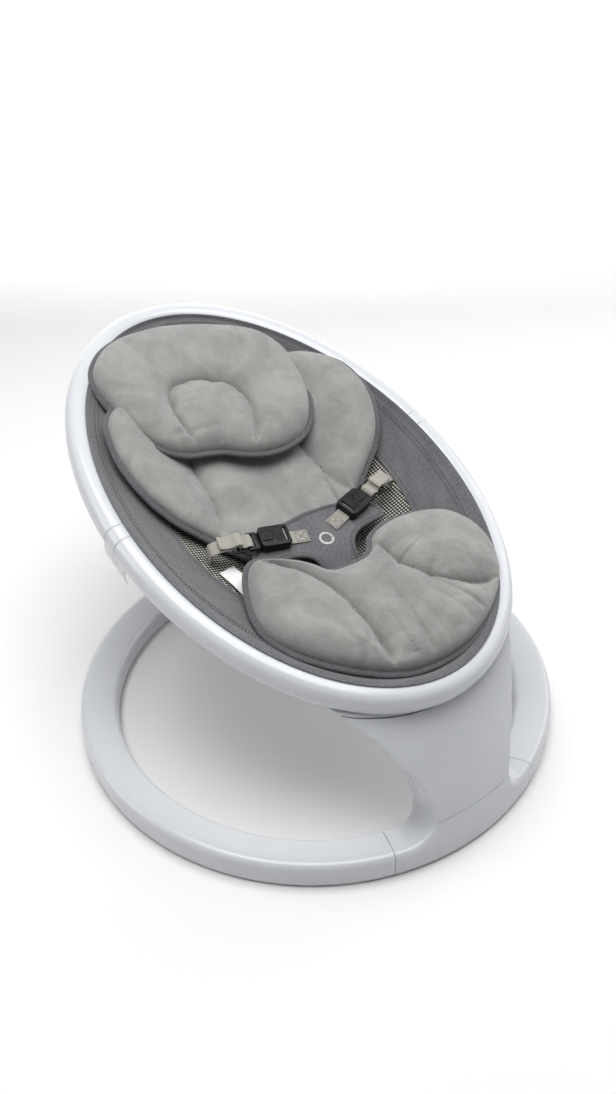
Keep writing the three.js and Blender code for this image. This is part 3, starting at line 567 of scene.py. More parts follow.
@dataclass
class FloorBase:
    """The floor ring: two hollow halves and a front piece that rises into the foot of the neck."""

    finishes: Finishes
    radius: float = 0.310
    width: float = 0.046
    underside: float = 0.002
    height: float = 0.034
    front_half_angle: float = math.radians(20.45)
    seam_gap: float = 0.00022
    foot_half_width: float = 0.057
    foot_top: float = 0.061
    fillet_run: float = 0.034
    centre_y: float = field(init=False)

    def __post_init__(self) -> None:
        """Finds the ring's centre from the frame."""
        self.centre_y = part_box("base_ring_left")[1].y - self.radius

    def ring_controls(self) -> Array:
        """Returns the ring section's control points as inset from the outer wall and height."""
        w, h = self.width, self.height
        return np.array([[4, 0], [0.8, 1.2], [0, 5], [0, 15], [0, 25], [1.2, 30.2], [4.2, 33.2],
                         [8.5, 34], [15, 33], [27, 30.2], [38, 27.3], [43, 25], [46, 19.5], [46, 12],
                         [46, 5], [45, 1.2], [42, 0], [30, 0], [18, 0]]) / [46, 34] * [w, h]

    def foot_controls(self) -> Array:
        """Returns the same points where the section stands up as the foot of the neck."""
        top = (self.foot_top - self.underside) / MM - 0.3
        return np.array([[4, 0], [0.8, 1.2], [0, 5], [0.2, 18], [2.2, 35], [5.4, 50], [6.7, top - 1.0],
                         [7.2, top - 0.1], [12, top], [30, top], [52, top], [56.6, top - 0.2],
                         [57, top - 4], [56, 30], [53, 8], [52, 1.6], [48, 0], [34, 0], [18, 0]]) * MM

    def place(self, inset: Array, height: Array, angle: Array) -> Array:
        """Puts section points at an angle round the ring, zero in front and positive to the right."""
        r = self.radius - inset
        x, y = r * np.sin(angle), self.centre_y - r * np.cos(angle)
        return np.stack([x, y, self.underside + height + 0 * x], axis=-1)

    def loops(self, angles: Array, rise: Array, insets: Array, count: int = 72) -> Array:
        """Returns one closed section per angle, blended from ring to foot and shrunk by an inset."""
        ring = spline(self.ring_controls(), count, closed=True)
        foot_line = spline(self.foot_controls(), count, closed=True)
        section = mix(ring[None], foot_line[None], rise[:, None, None])
        middle = section.mean(1, keepdims=True)
        reach = np.linalg.norm(section - middle, axis=2, keepdims=True)
        section = middle + (section - middle) * (1 - insets[:, None, None] / reach)
        return self.place(section[..., 0], section[..., 1], angles[:, None])

    def half(self, name: str, side: int) -> None:
        """Builds one plain half of the ring, with a small rounding at both ends."""
        lip = np.array([0, 0.0003, 0.0008]) / self.radius
        start = self.front_half_angle + self.seam_gap / self.radius
        end = math.pi - self.seam_gap / self.radius
        inside = np.linspace(start + lip[-1] * 1.5, end - lip[-1] * 1.5, 150)
        angles = np.concatenate([start + lip, inside, end - lip[::-1]])
        insets = np.concatenate([[0.0007, 0.0002, 0], np.zeros(150), [0, 0.0002, 0.0007]])
        kit = MeshKit()
        kit.tube(self.loops(side * angles, np.zeros(len(angles)), insets))
        dress(kit.build(f"floor_ring_{name}"), self.finishes.shell, Body.BASE,
              [f"base_ring_{name}"])

    def front(self) -> None:
        """Builds the front piece: ring at its ends, and between them a fillet up to the neck's foot."""
        arc = np.linspace(0, math.pi / 2, 30)
        foot_radius = self.radius - 0.008
        x_fillet = self.foot_half_width + self.fillet_run * (1 - np.cos(arc))
        end = self.front_half_angle - self.seam_gap / self.radius
        side_angle = np.arcsin(x_fillet / foot_radius)
        lip = np.array([0.0008, 0.0003, 0]) / self.radius
        tail = np.linspace(side_angle[-1], end - lip[0] * 1.5, 8)[1:]
        outer = np.concatenate([side_angle, tail, end - lip])
        rise_outer = np.concatenate([1 - np.sin(arc), np.zeros(len(tail) + 3)])
        inset_outer = np.concatenate([np.zeros(len(arc) + len(tail)), [0, 0.0002, 0.0007]])
        middle = np.linspace(-side_angle[0], side_angle[0], 40)[1:-1]
        angles = np.concatenate([-outer[::-1], middle, outer])
        rise = np.concatenate([rise_outer[::-1], np.ones(len(middle)), rise_outer])
        insets = np.concatenate([inset_outer[::-1], np.zeros(len(middle)), inset_outer])
        kit = MeshKit()
        kit.tube(self.loops(angles, rise, insets, 110))
        dress(kit.build("floor_ring_front"), self.finishes.shell, Body.BASE,
              ["base_front"])

    def build(self) -> None:
        """Builds the ring's three visible mouldings."""
        self.half("left", -1)
        self.half("right", 1)
        self.front()


# ------------------------------------------------------------------ neck and hub


@dataclass
class Neck:
    """The fan-shaped neck: front and rear shells under a bowl-shaped running surface, and the hub."""

    finishes: Finishes
    base: FloorBase
    plane: "SeatPlane"
    seam: float = 0.061
    top: float = 0.185
    half_width: float = 0.057
    widening: float = 0.0113
    flare: float = 0.0435
    lean: float = 0.018
    lean_flare: float = 0.0357
    depth: float = 0.050
    depth_growth: float = 0.018
    face_radius: float = 0.310
    setback: float = 0.007
    wall: float = 0.003
    split: float = 0.5
    axis_tilt: float = math.radians(20)
    bowl_start: float = 0.0865
    bowl_rise: float = 1.95
    clearance: float = 0.0014

    def share(self, z: Array) -> Array:
        """Returns how far up the neck a height is, 0 at the seam and 1 at the top."""
        return (z - self.seam) / (self.top - self.seam)

    def point(self, z: Array, across: Array, through: Array, inset: float = 0) -> Array:
        """Returns a point of the neck.

        The half width and the front face's lean grow with the square of the height; a face is an arc of
        the base's radius.

        Args:
            z: heights.
            across: -1..1 from left to right.
            through: 0..1 from front to back.
            inset: how far inside the skin.
        """
        s = self.share(z)
        width = self.half_width + self.widening * s + self.flare * s**2
        seam_front = self.base.centre_y - self.base.radius + self.setback
        front = seam_front + self.lean * s + self.lean_flare * s**2
        depth = self.depth + self.depth_growth * np.minimum(s, 1)
        x = across * (width - inset - 0.005 * through)
        drop = self.face_radius - np.sqrt(self.face_radius**2 - x**2)
        y = mix(front + drop + inset, front + depth + drop * 0.5 - inset, through)
        return np.stack([x, y, z + 0 * x], axis=-1)

    def bowl(self, p: Array, lift: float) -> Array:
        """Returns the running surface's height: it rises with the squared distance from the axis."""
        swing = next(joint for joint in frame["joints"] if joint["name"] == "seat_swing")
        axis = np.array([0, math.sin(self.axis_tilt), math.cos(self.axis_tilt)])
        rel = p - np.array(swing["pos_m"], float)
        along = rel @ axis
        away = (rel**2).sum(-1) - along**2
        level = self.bowl_start + self.bowl_rise * away + lift
        return (level - (p[..., 1] - self.base.centre_y) * axis[1]) / axis[2]

    def under_ring(self, p: Array, bury: float) -> Array:
        """Returns the height of a plane just inside the underside of the seat ring's tube."""
        n = -self.plane.tube_half_height + bury
        c, s = math.cos(self.plane.tilt), math.sin(self.plane.tilt)
        return self.plane.centre[2] + (n + (p[..., 1] - self.plane.centre[1]) * s) / c

    def column_top(self, across: Array, through: Array, inset: float,
                   height: Callable[[Array], Array]) -> Array:
        """Follows each column up to a height that depends on the point reached."""
        z = np.full(across.shape, self.top)
        for _ in range(40):
            z = mix(z, height(self.point(z, across, through, inset)), 0.6)
        return z

    def path(self, start: float, stop: float, count: int) -> tuple[Array, Array]:
        """Returns a way round the outline by its share of the length, starting on the left side."""
        legs = np.array([[-1, self.split], [-1, 0], [1, 0], [1, self.split], [1, 1], [-1, 1],
                         [-1, self.split]])
        lengths = np.array([0, 0.02, 0.14, 0.02, 0.02, 0.13, 0.02])
        at = np.cumsum(lengths)
        s = np.linspace(start, stop, count) * at[-1]
        return np.interp(s, at, legs[:, 0]), np.interp(s, at, legs[:, 1])

    def skin(self, across: Array, through: Array, bottom: float, top: Array, inset: float,
             levels: int = 46) -> Array:
        """Returns a sheet of the neck's skin between two heights, with its upright corners rounded."""
        share = np.linspace(0, 1, levels)[:, None]
        z = bottom + (top - bottom) * share
        p = self.point(z, across[None], through[None], inset)
        for _ in range(6):
            p[:, 1:-1, :2] = 0.25 * p[:, :-2, :2] + 0.5 * p[:, 1:-1, :2] + 0.25 * p[:, 2:, :2]
        return p

    def shell(self, name: str, start: float, stop: float, node: str) -> None:
        """Builds one shell as a wall between an outer and an inner skin."""
        across, through = self.path(start, stop, 120)
        sheets = []
        for inset in (0.0, self.wall):
            top = self.column_top(across, through, inset, lambda p: self.bowl(p, -self.clearance))
            sheets.append(self.skin(across, through, self.seam + 0.0003, top, inset))
        kit = MeshKit()
        kit.slab(*sheets)
        piece = kit.build(name)
        sharpen(piece)
        dress(piece, self.finishes.shell, Body.BASE, [node])

    def hub(self) -> None:
        """Builds the hub: the neck's outline carried on from the running surface up into the ring."""
        across, through = self.path(0, 1, 241)
        across, through = across[:-1], through[:-1]
        low = self.column_top(across, through, 0, lambda p: self.bowl(p, 0))
        high = self.column_top(across, through, 0, lambda p: self.under_ring(p, 0.0065))
        share = np.linspace(0, 1, 14)[:, None]
        p = self.point(low + (high - low) * share, across[None], through[None])
        for _ in range(6):
            before, after = np.roll(p, 1, 1)[..., :2], np.roll(p, -1, 1)[..., :2]
            p[..., :2] = 0.25 * before + 0.5 * p[..., :2] + 0.25 * after
        kit = MeshKit()
        kit.tube(p)
        piece = kit.build("seat_hub_skin")
        sharpen(piece)
        dress(piece, self.finishes.shell, Body.SEAT, ["seat_hub"])

    def build(self) -> None:
        """Builds both shells and the hub."""
        total = 0.35
        self.shell("neck_front", 0.0005, (0.18 - 0.0002) / total, "neck_front_shell")
        self.shell("neck_rear", (0.18 + 0.0002) / total, 0.9995, "neck_rear_shell")
        self.hub()


# ------------------------------------------------------------------ seat ring


@dataclass
class SeatPlane:
    """The seat ring's plane and the sling's shape in it."""

    tilt: float = math.radians(18.2)
    half_length: float = 0.321
    half_width: float = 0.213
    egg: float = 0.015
    tube_half_width: float = 0.0155
    tube_half_height: float = 0.0175
    tube_power: float = 2.35
    mesh_half_width: float = 0.147
    mesh_half_length: float = 0.221
    mesh_rim: float = -0.020
    mesh_depth: float = 0.034
    cover_rim: float = 0.008
    cover_edge: float = 0.0021
    centre: Array = field(init=False)

    def __post_init__(self) -> None:
        """Finds the ring's centre from the frame."""
        low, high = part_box("seat_ring_foot")[0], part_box("seat_ring_head")[1]
        self.centre = np.array([0, (low.y + high.y) / 2, (low.z + high.z) / 2])

    def at(self, u: Array, v: Array, n: Array) -> Array:
        """Turns seat coordinates into the row's frame."""
        u, v, n = np.broadcast_arrays(np.asarray(u, float), v, n)
        c, s = math.cos(self.tilt), math.sin(self.tilt)
        return np.stack([u, v * c - n * s, v * s + n * c], axis=-1) + self.centre

    @property
    def normal(self) -> Array:
        """Returns the direction out of the ring's plane."""
        return np.array([0, -math.sin(self.tilt), math.cos(self.tilt)])

    def normals(self, path: Array) -> Array:
        """Returns the plane's direction once for each point of a path."""
        return np.broadcast_to(self.normal, path.shape)

    def tube_centre(self, angle: Array) -> Array:
        """Returns the tube's centre line, from the foot end round: an ellipse wider toward the foot."""
        u = self.half_width * np.sin(angle) * (1 + self.egg * np.cos(angle))
        return np.stack([u, -self.half_length * np.cos(angle)], axis=-1)

    def outward(self, angle: Array) -> Array:
        """Returns the direction in the plane away from the seat, square to the centre line."""
        along = unit(self.tube_centre(angle + 1e-4) - self.tube_centre(angle - 1e-4))
        return np.stack([along[..., 1], -along[..., 0]], axis=-1)

    def tube_top(self, offset: Array) -> Array:
        """Returns the tube's height at an offset from its centre line: a superellipse."""
        t = np.clip(np.abs(offset) / self.tube_half_width, 0, 1)
        return self.tube_half_height * (1 - t**self.tube_power) ** (1 / self.tube_power)

    def sling_edge(self, share: Array) -> tuple[Array, Array]:
        """Returns the semi-axes of the sling's level curves, 0 at the mesh's edge and 1 at the ring."""
        a = self.half_width - self.tube_half_width - self.cover_edge
        b = self.half_length - self.tube_half_width - self.cover_edge
        return mix(self.mesh_half_width, a, share), mix(self.mesh_half_length, b, share)

    def sling(self, u: Array, v: Array) -> Array:
        """Returns the sling's upper face: a paraboloid of mesh, and a straight slope of fabric."""
        u, v = np.broadcast_arrays(np.asarray(u, float), v)
        inner = np.hypot(u / self.mesh_half_width, v / self.mesh_half_length)
        bowl = self.mesh_rim - self.mesh_depth * (1 - inner**2)
        low, high = np.zeros(u.shape), np.full(u.shape, 1.6)
        for _ in range(30):
            middle = (low + high) / 2
            a, b = self.sling_edge(middle)
            outside = np.hypot(u / a, v / b) > 1
            low, high = np.where(outside, middle, low), np.where(outside, high, middle)
        return np.where(inner <= 1, bowl, mix(self.mesh_rim, self.cover_rim, low))


@dataclass
class SeatRing:
    """The oval tube in head and foot halves with a short collar at each side."""

    finishes: Finishes
    plane: SeatPlane
    collar_angle: float = math.radians(91)
    collar_length: float = 0.020
    gap: float = 0.0002

    def loops(self, angles: Array, insets: Array, count: int = 56) -> Array:
        """Returns one superelliptic section per angle, shrunk by an inset."""
        turn, power = around(count), 2 / self.plane.tube_power
        half_width = self.plane.tube_half_width - insets[:, None]
        out = soft_power(np.cos(turn), power)[None] * half_width
        up = soft_power(np.sin(turn), power)[None] * (self.plane.tube_half_height - insets[:, None])
        outward = self.plane.outward(angles)[:, None]
        p = self.plane.tube_centre(angles)[:, None] + outward * out[..., None]
        return self.plane.at(p[..., 0], p[..., 1], up)

    def span(self, name: str, start: float, stop: float, count: int, node: str) -> None:
        """Builds one stretch of tube, rounded at its ends so that the seam reads as a fine line."""
        per = 1 / self.plane.half_length
        lip = np.array([0, 0.0003, 0.0009]) * per
        start, stop = start + self.gap / 2 * per, stop - self.gap / 2 * per
        inside = np.linspace(start + lip[-1] * 1.5, stop - lip[-1] * 1.5, count)
        angles = np.concatenate([start + lip, inside, stop - lip[::-1]])
        insets = np.concatenate([[0.0006, 0.00018, 0], np.zeros(count), [0, 0.00018, 0.0006]])
        kit = MeshKit()
        kit.tube(self.loops(angles, insets))
        dress(kit.build(name), self.finishes.shell, Body.SEAT, [node])

    def build(self) -> None:
        """Builds the four stretches."""
        half = self.collar_length / 2 / self.plane.half_length
        edge = self.collar_angle
        self.span("seat_tube_foot", -(edge - half), edge - half, 190, "seat_ring_foot")
        self.span("seat_tube_head", edge + half, 2 * math.pi - edge - half, 190, "seat_ring_head")
        self.span("tube_collar_right", edge - half, edge + half, 12, "ring_collar_right")
        self.span("tube_collar_left", -edge - half, -edge + half, 12, "ring_collar_left")


# ------------------------------------------------------------------ cloth and cushions


def dome(distance: Array, radius: float, height: float) -> Array:
    """Returns a rounded shoulder: a quarter ellipse that reaches its height at the radius."""
    t = np.clip(distance / radius, 0, 1)
    return height * np.sqrt(np.clip(1 - (1 - t) ** 2, 0, 1))


def ripples(p: Array, seed: int, size: float) -> Array:
    """Returns a smooth uneven field: a sum of six sine waves in random directions, about -1..1."""
    rng = np.random.default_rng(seed)
    turn, phase = rng.uniform(0, 2 * math.pi, (2, 6))
    wave = rng.uniform(0.6, 1.5, 6) * 2 * math.pi / size
    along = p[..., 0, None] * np.cos(turn) * wave + p[..., 1, None] * np.sin(turn) * wave
    return np.sin(along + phase + 1.3 * np.sin(along[..., ::-1] * 0.7)).sum(-1) / 4


@dataclass
class Seam:
    """A sewn line across a cushion: it pulls the surface down, and folds run off it."""

    points: Sequence[Sequence[float]]
    depth: float = 0.8
    reach: float = 0.022
    folds: float = 0.0
    fold_reach: float = 0.03
    fold_pitch: float = 0.03
    seed: int = 1

    def pull(self, p: Array) -> tuple[Array, Array]:
        """Returns the share of the puff that is left at each point, and the height of its folds.

        The share is a rounded shoulder of the distance to the line; a fold is a sharpened sine of the
        place along the line, which dies out with the distance.
        """
        line = spline(self.points, 90)
        gap, near = distance_to(p, line)
        left = 1 - self.depth * (1 - dome(gap, self.reach, 1.0))
        run = run_along(line)
        place = run[np.linalg.norm(near[:, None] - line[None], axis=2).argmin(1)]
        rng = np.random.default_rng(self.seed)
        turns = place / self.fold_pitch
        phase = 2 * math.pi * turns + 1.6 * np.sin(turns * 1.9 + rng.uniform(0, 6))
        size = 0.55 + 0.45 * np.sin(turns * 1.37 + rng.uniform(0, 6))
        fold = -np.exp(-2.2 * (1 + np.sin(phase))) * size * np.exp(-((gap / self.fold_reach) ** 1.3))
        return left, self.folds * fold


@dataclass
class Cushion:
    """A sewn pad with a bound rim: an outline, seams, and top and bottom heights."""

    name: str
    plane: SeatPlane
    outline: Sequence[Sequence[float]]
    middle: tuple[float, float]
    puff: float
    seams: Sequence[Seam] = ()
    rings: int = 100
    spokes: int = 400
    crumple: float = 0.0
    crumpled: tuple[float, float, float] = (0, 0, 1)
    shoulder: float = 0.034
    binding_width: float = 0.0095
    binding_height: float = 0.0058
    lip: float = 0.0012

    def rim(self) -> Array:
        """Returns the outline's points in the seat's plane."""
        return spline(self.outline, self.spokes, closed=True)

    def plan(self, rings: int) -> Array:
        """Returns the pad's plan: rings shrunk from the outline to the middle point."""
        share = 1 - np.linspace(0, 1, rings) ** 1.35 * 0.985
        return np.array(self.middle) + (self.rim() - np.array(self.middle))[None] * share[:, None, None]

    def puffed(self, p: Array) -> Array:
        """Returns the stuffing's height over the rim's level at plan points."""
        flat = p.reshape(-1, 2)
        rim = self.rim()
        gap, _ = distance_to(flat, np.concatenate([rim, rim[:1]])[::3])
        height = dome(gap, self.shoulder, 1.0)
        folds = np.zeros(len(flat))
        for seam in self.seams:
            left, fold = seam.pull(flat)
            height = np.minimum(height, left)
            folds = folds + fold
        fade = smooth_step(0.003, 0.016, gap)
        lumps = ripples(flat, 3, 0.09) * 0.0011 + ripples(flat, 8, 0.035) * 0.00035
        away = np.hypot(flat[:, 0] - self.crumpled[0], flat[:, 1] - self.crumpled[1]) / self.crumpled[2]
        ridge = 1 - np.minimum(np.abs(ripples(flat, 21, 0.13)) * 2.4, 1)
        lumps = lumps - self.crumple * ridge**2 * np.exp(-(away**4))
        return (self.puff * height + (folds + lumps) * fade).reshape(p.shape[:-1])

    def build(self, level: Height, floor: Height) -> bpy.types.Object:
        """Builds the pad's closed body.

        Args:
            level: height of the rim's middle at plan points.
            floor: lowest height the underside may take.

        Returns:
            The pad.
        """
        top = self.plan(self.rings)
        base = level(top[..., 0], top[..., 1])
        upper = self.plane.at(top[..., 0], top[..., 1], base + self.lip + self.puffed(top))
        low = self.plan(12)
        rim = level(low[..., 0], low[..., 1])
        sag = 1 - (np.linspace(1, 0, 12) ** 3)[:, None]
        under = np.maximum(rim - self.lip - self.puff * 0.8 * sag, floor(low[..., 0], low[..., 1]))
        lower = self.plane.at(low[..., 0], low[..., 1], np.minimum(under, rim - 0.0008))
        kit = MeshKit()
        kit.pad(upper, lower, (top, low))
        return kit.build(self.name)

    def seam_shade_line(self, number: int, seam: Seam, level: Height) -> bpy.types.Object:
        """Builds the dark line at the bottom of a seam: painted seam shade, a fine dark tube carried along
        the surface.
        """
        line = spline(seam.points, 260)
        n = level(line[:, 0], line[:, 1]) + self.lip + self.puffed(line)
        middle = self.plane.at(line[:, 0], line[:, 1], n + 0.0001)
        along = unit(np.gradient(middle, axis=0))
        side = unit(np.cross(along, self.plane.normal))
        up = np.cross(side, along)
        turn = around(8)[None, :, None]
        thick = 0.00055 * (1 + 0.25 * np.sin(np.arange(260) * 1.9))[:, None, None]
        kit = MeshKit()
        ring = side[:, None] * np.cos(turn) + up[:, None] * np.sin(turn)
        kit.tube(middle[:, None] + thick * ring)
        return kit.build(f"{self.name}_seam_{number}")

    def bind(self, level: Height) -> bpy.types.Object:
        """Builds the binding: a flattened loop of tape carried round the rim."""
        rim = spline(self.outline, 420, closed=True)
        ripple = ripples(rim, 5, 0.05) * 0.0006
        along = unit(np.roll(rim, -1, 0) - np.roll(rim, 1, 0))
        out = np.stack([along[:, 1], -along[:, 0]], 1)
        out *= np.sign(((rim - np.array(self.middle)) * out).sum(1).mean())
        turn = around(14)
        ring = np.stack([soft_power(np.cos(turn), 0.75), soft_power(np.sin(turn), 0.75)], 1)
        reach = (ring[None, :, 0] * 0.5 + 0.18) * self.binding_width
        p = rim[:, None] + out[:, None] * reach[..., None]
        rise = ring[None, :, 1] * self.binding_height / 2
        n = level(rim[:, 0], rim[:, 1])[:, None] + ripple[:, None] + rise
        kit = MeshKit()
        kit.loop_tube(self.plane.at(p[..., 0], p[..., 1], n))
        return kit.build(f"{self.name}_binding")


def stitches(name: str, path: Array, up: Array, length: float = 0.0026, pitch: float = 0.0038,
             radius: float = 0.00038) -> bpy.types.Object:
    """Lays short rounded stitches along a path: each is a six-sided capsule between two places.

    Args:
        name: object name.
        path: points of the path, metres.
        up: unit vectors out of the cloth at those points.
        length: length of one stitch.
        pitch: distance from one stitch to the next.
        radius: half its thickness.

    Returns:
        One object that holds all the stitches.
    """
    run = run_along(path)
    start = np.arange(0, max(run[-1] - length, pitch / 2), pitch)
    share = np.array([0.0, 0.18, 0.5, 0.82, 1.0])
    at = start[:, None] + share * length
    centre = np.stack([np.interp(at, run, path[:, k]) for k in range(3)], axis=2)
    normal = unit(np.stack([np.interp(at, run, up[:, k]) for k in range(3)], axis=2))
    along = unit(centre[:, -1:] - centre[:, :1]) + 0 * centre
    side = unit(np.cross(along, normal))
    lift = np.array([-0.6, 0.5, 0.9, 0.5, -0.6])[None, :, None] * radius
    size = np.array([0.35, 0.9, 1.0, 0.9, 0.35])[None, :, None, None] * radius
    turn = around(6)[None, None, :, None]
    ring = side[:, :, None] * np.cos(turn) * 1.2 + normal[:, :, None] * np.sin(turn)
    loops = (centre + normal * lift)[:, :, None] + size * ring
    kit = MeshKit()
    numbers = kit.add(loops)
    wrapped = np.concatenate([numbers, numbers[:, :, :1]], axis=2)
    here, there = wrapped[:, :-1], wrapped[:, 1:]
    quads = np.stack([here[..., :-1], there[..., :-1], there[..., 1:], here[..., 1:]], axis=3)
    kit.faces.append(quads.reshape(-1, 4))
    kit.corners.append(np.zeros((quads.size // 4, 4, 2)))
    for ring in (numbers[:, 0], numbers[:, -1, ::-1]):
        kit.faces += [ring[:, [0, 1, 2, 3]], ring[:, [0, 3, 4, 5]]]
        kit.corners += [np.zeros((len(ring), 4, 2))] * 2
    return kit.build(name)


@dataclass
class Sling:
    """The heather border, stretched from the ring down to the edge of the air mesh, and the mesh."""

    finishes: Finishes
    plane: SeatPlane
    thickness: float = 0.0016
    border_flat: tuple[float, float] = (0.085, 1.62)
    mesh_flat: tuple[float, float] = (0.31, 0.46)
    mesh_area: float = 0.106
    reach_foot: float = 0.0022
    reach_head: float = 0.0122

    def border_point(self, angle: Array, share: Array, lift: Array | float = 0) -> Array:
        """Returns a point of the border at a share from the mesh's edge (0) to the ring's inner top (1).

        Up to a share of 0.8 it is the sling's slope with small waves along it; beyond, it bends over
        onto the tube and follows its superelliptic section, farther at the foot end than at the head
        end by a raised cosine of the angle.
        """
        slope = np.clip(share / 0.8, 0, 1) * 0.97
        a, b = self.plane.sling_edge(slope)
        waves = 0.0014 * np.sin(11 * angle + 1.2) + 0.001 * np.sin(17 * angle + 3 * share)
        rise = mix(self.plane.mesh_rim, self.plane.cover_rim, slope)
        rise = rise + np.sin(math.pi * np.clip(share / 0.8, 0, 1)) * waves + lift
        low = np.stack(np.broadcast_arrays(a * np.sin(angle), -b * np.cos(angle), rise), axis=-1)
        over = np.clip((share - 0.8) / 0.2, 0, 1)
        near = 0.5 + 0.5 * np.cos(angle + 0.4)
        offset = mix(0.0150, mix(self.reach_head, self.reach_foot, near), over)
        flat = self.plane.tube_centre(angle) - self.plane.outward(angle) * offset[..., None]
        height = self.plane.tube_top(offset) + 0.0011
        high = np.stack(np.broadcast_arrays(flat[..., 0], flat[..., 1], height + lift), axis=-1)
        p = mix(low, high, smooth_step(0.0, 0.3, over)[..., None])
        return self.plane.at(p[..., 0], p[..., 1], p[..., 2])

    def build(self) -> None:
        """Builds the border, its hems, stitching and the mesh panel."""
        angle = np.linspace(0, 2 * math.pi, 360, endpoint=False)[None]
        share = np.array([*np.linspace(0.0, 0.72, 18), *np.linspace(0.75, 1.0, 22)])[:, None]
        over = np.interp(share, [0, 0.74, 0.76, 1], [0, 0, 0.0012, 0.0012])
        hem = np.interp(share, [0, 0.09, 0.12, 1], [0.0016, 0.0016, 0, 0])
        upper = self.border_point(angle, share, over + hem)
        under = np.interp(share, [0, 0.8, 1], [-0.0016, -0.0010, -0.0006])
        lower = self.border_point(angle, share, under)
        kit = MeshKit()
        uv = sheet_uv(upper, wrap=True)
        kit.slab(upper, lower, uv, wrap=True)
        piece = kit.build("heather_border")
        sharpen(piece, 60)
        dress(piece, self.finishes.heather, Body.SEAT, ["seat_cover"])
        rows = (("outer", 0.785, 0.0016), ("inner", 0.725, 0.0003), ("hem", 0.08, 0.0019))
        for name, at, lift in rows:
            turn = np.linspace(0, 2 * math.pi, 900)
            path = self.border_point(turn, np.full(900, at), lift)
            made = stitches(f"border_stitching_{name}", path, self.plane.normals(path), 0.0028, 0.0042,
                            0.00035)
            dress(made, self.finishes.thread, Body.SEAT)
        s, t = np.meshgrid(np.linspace(-1, 1, 60), np.linspace(-1, 1, 90))
        x, y = s * np.sqrt(1 - t**2 / 2), t * np.sqrt(1 - s**2 / 2)
        u, v = x * (self.plane.mesh_half_width - 0.0004), y * (self.plane.mesh_half_length - 0.0004)
        n = self.plane.sling(u, v)
        kit = MeshKit()
        kit.slab(self.plane.at(u, v, n), self.plane.at(u, v, n - self.thickness), np.stack([u, v], 2))
        mesh = kit.build("air_mesh_panel")
        dress(mesh, self.finishes.mesh, Body.SEAT, ["mesh_panel"])


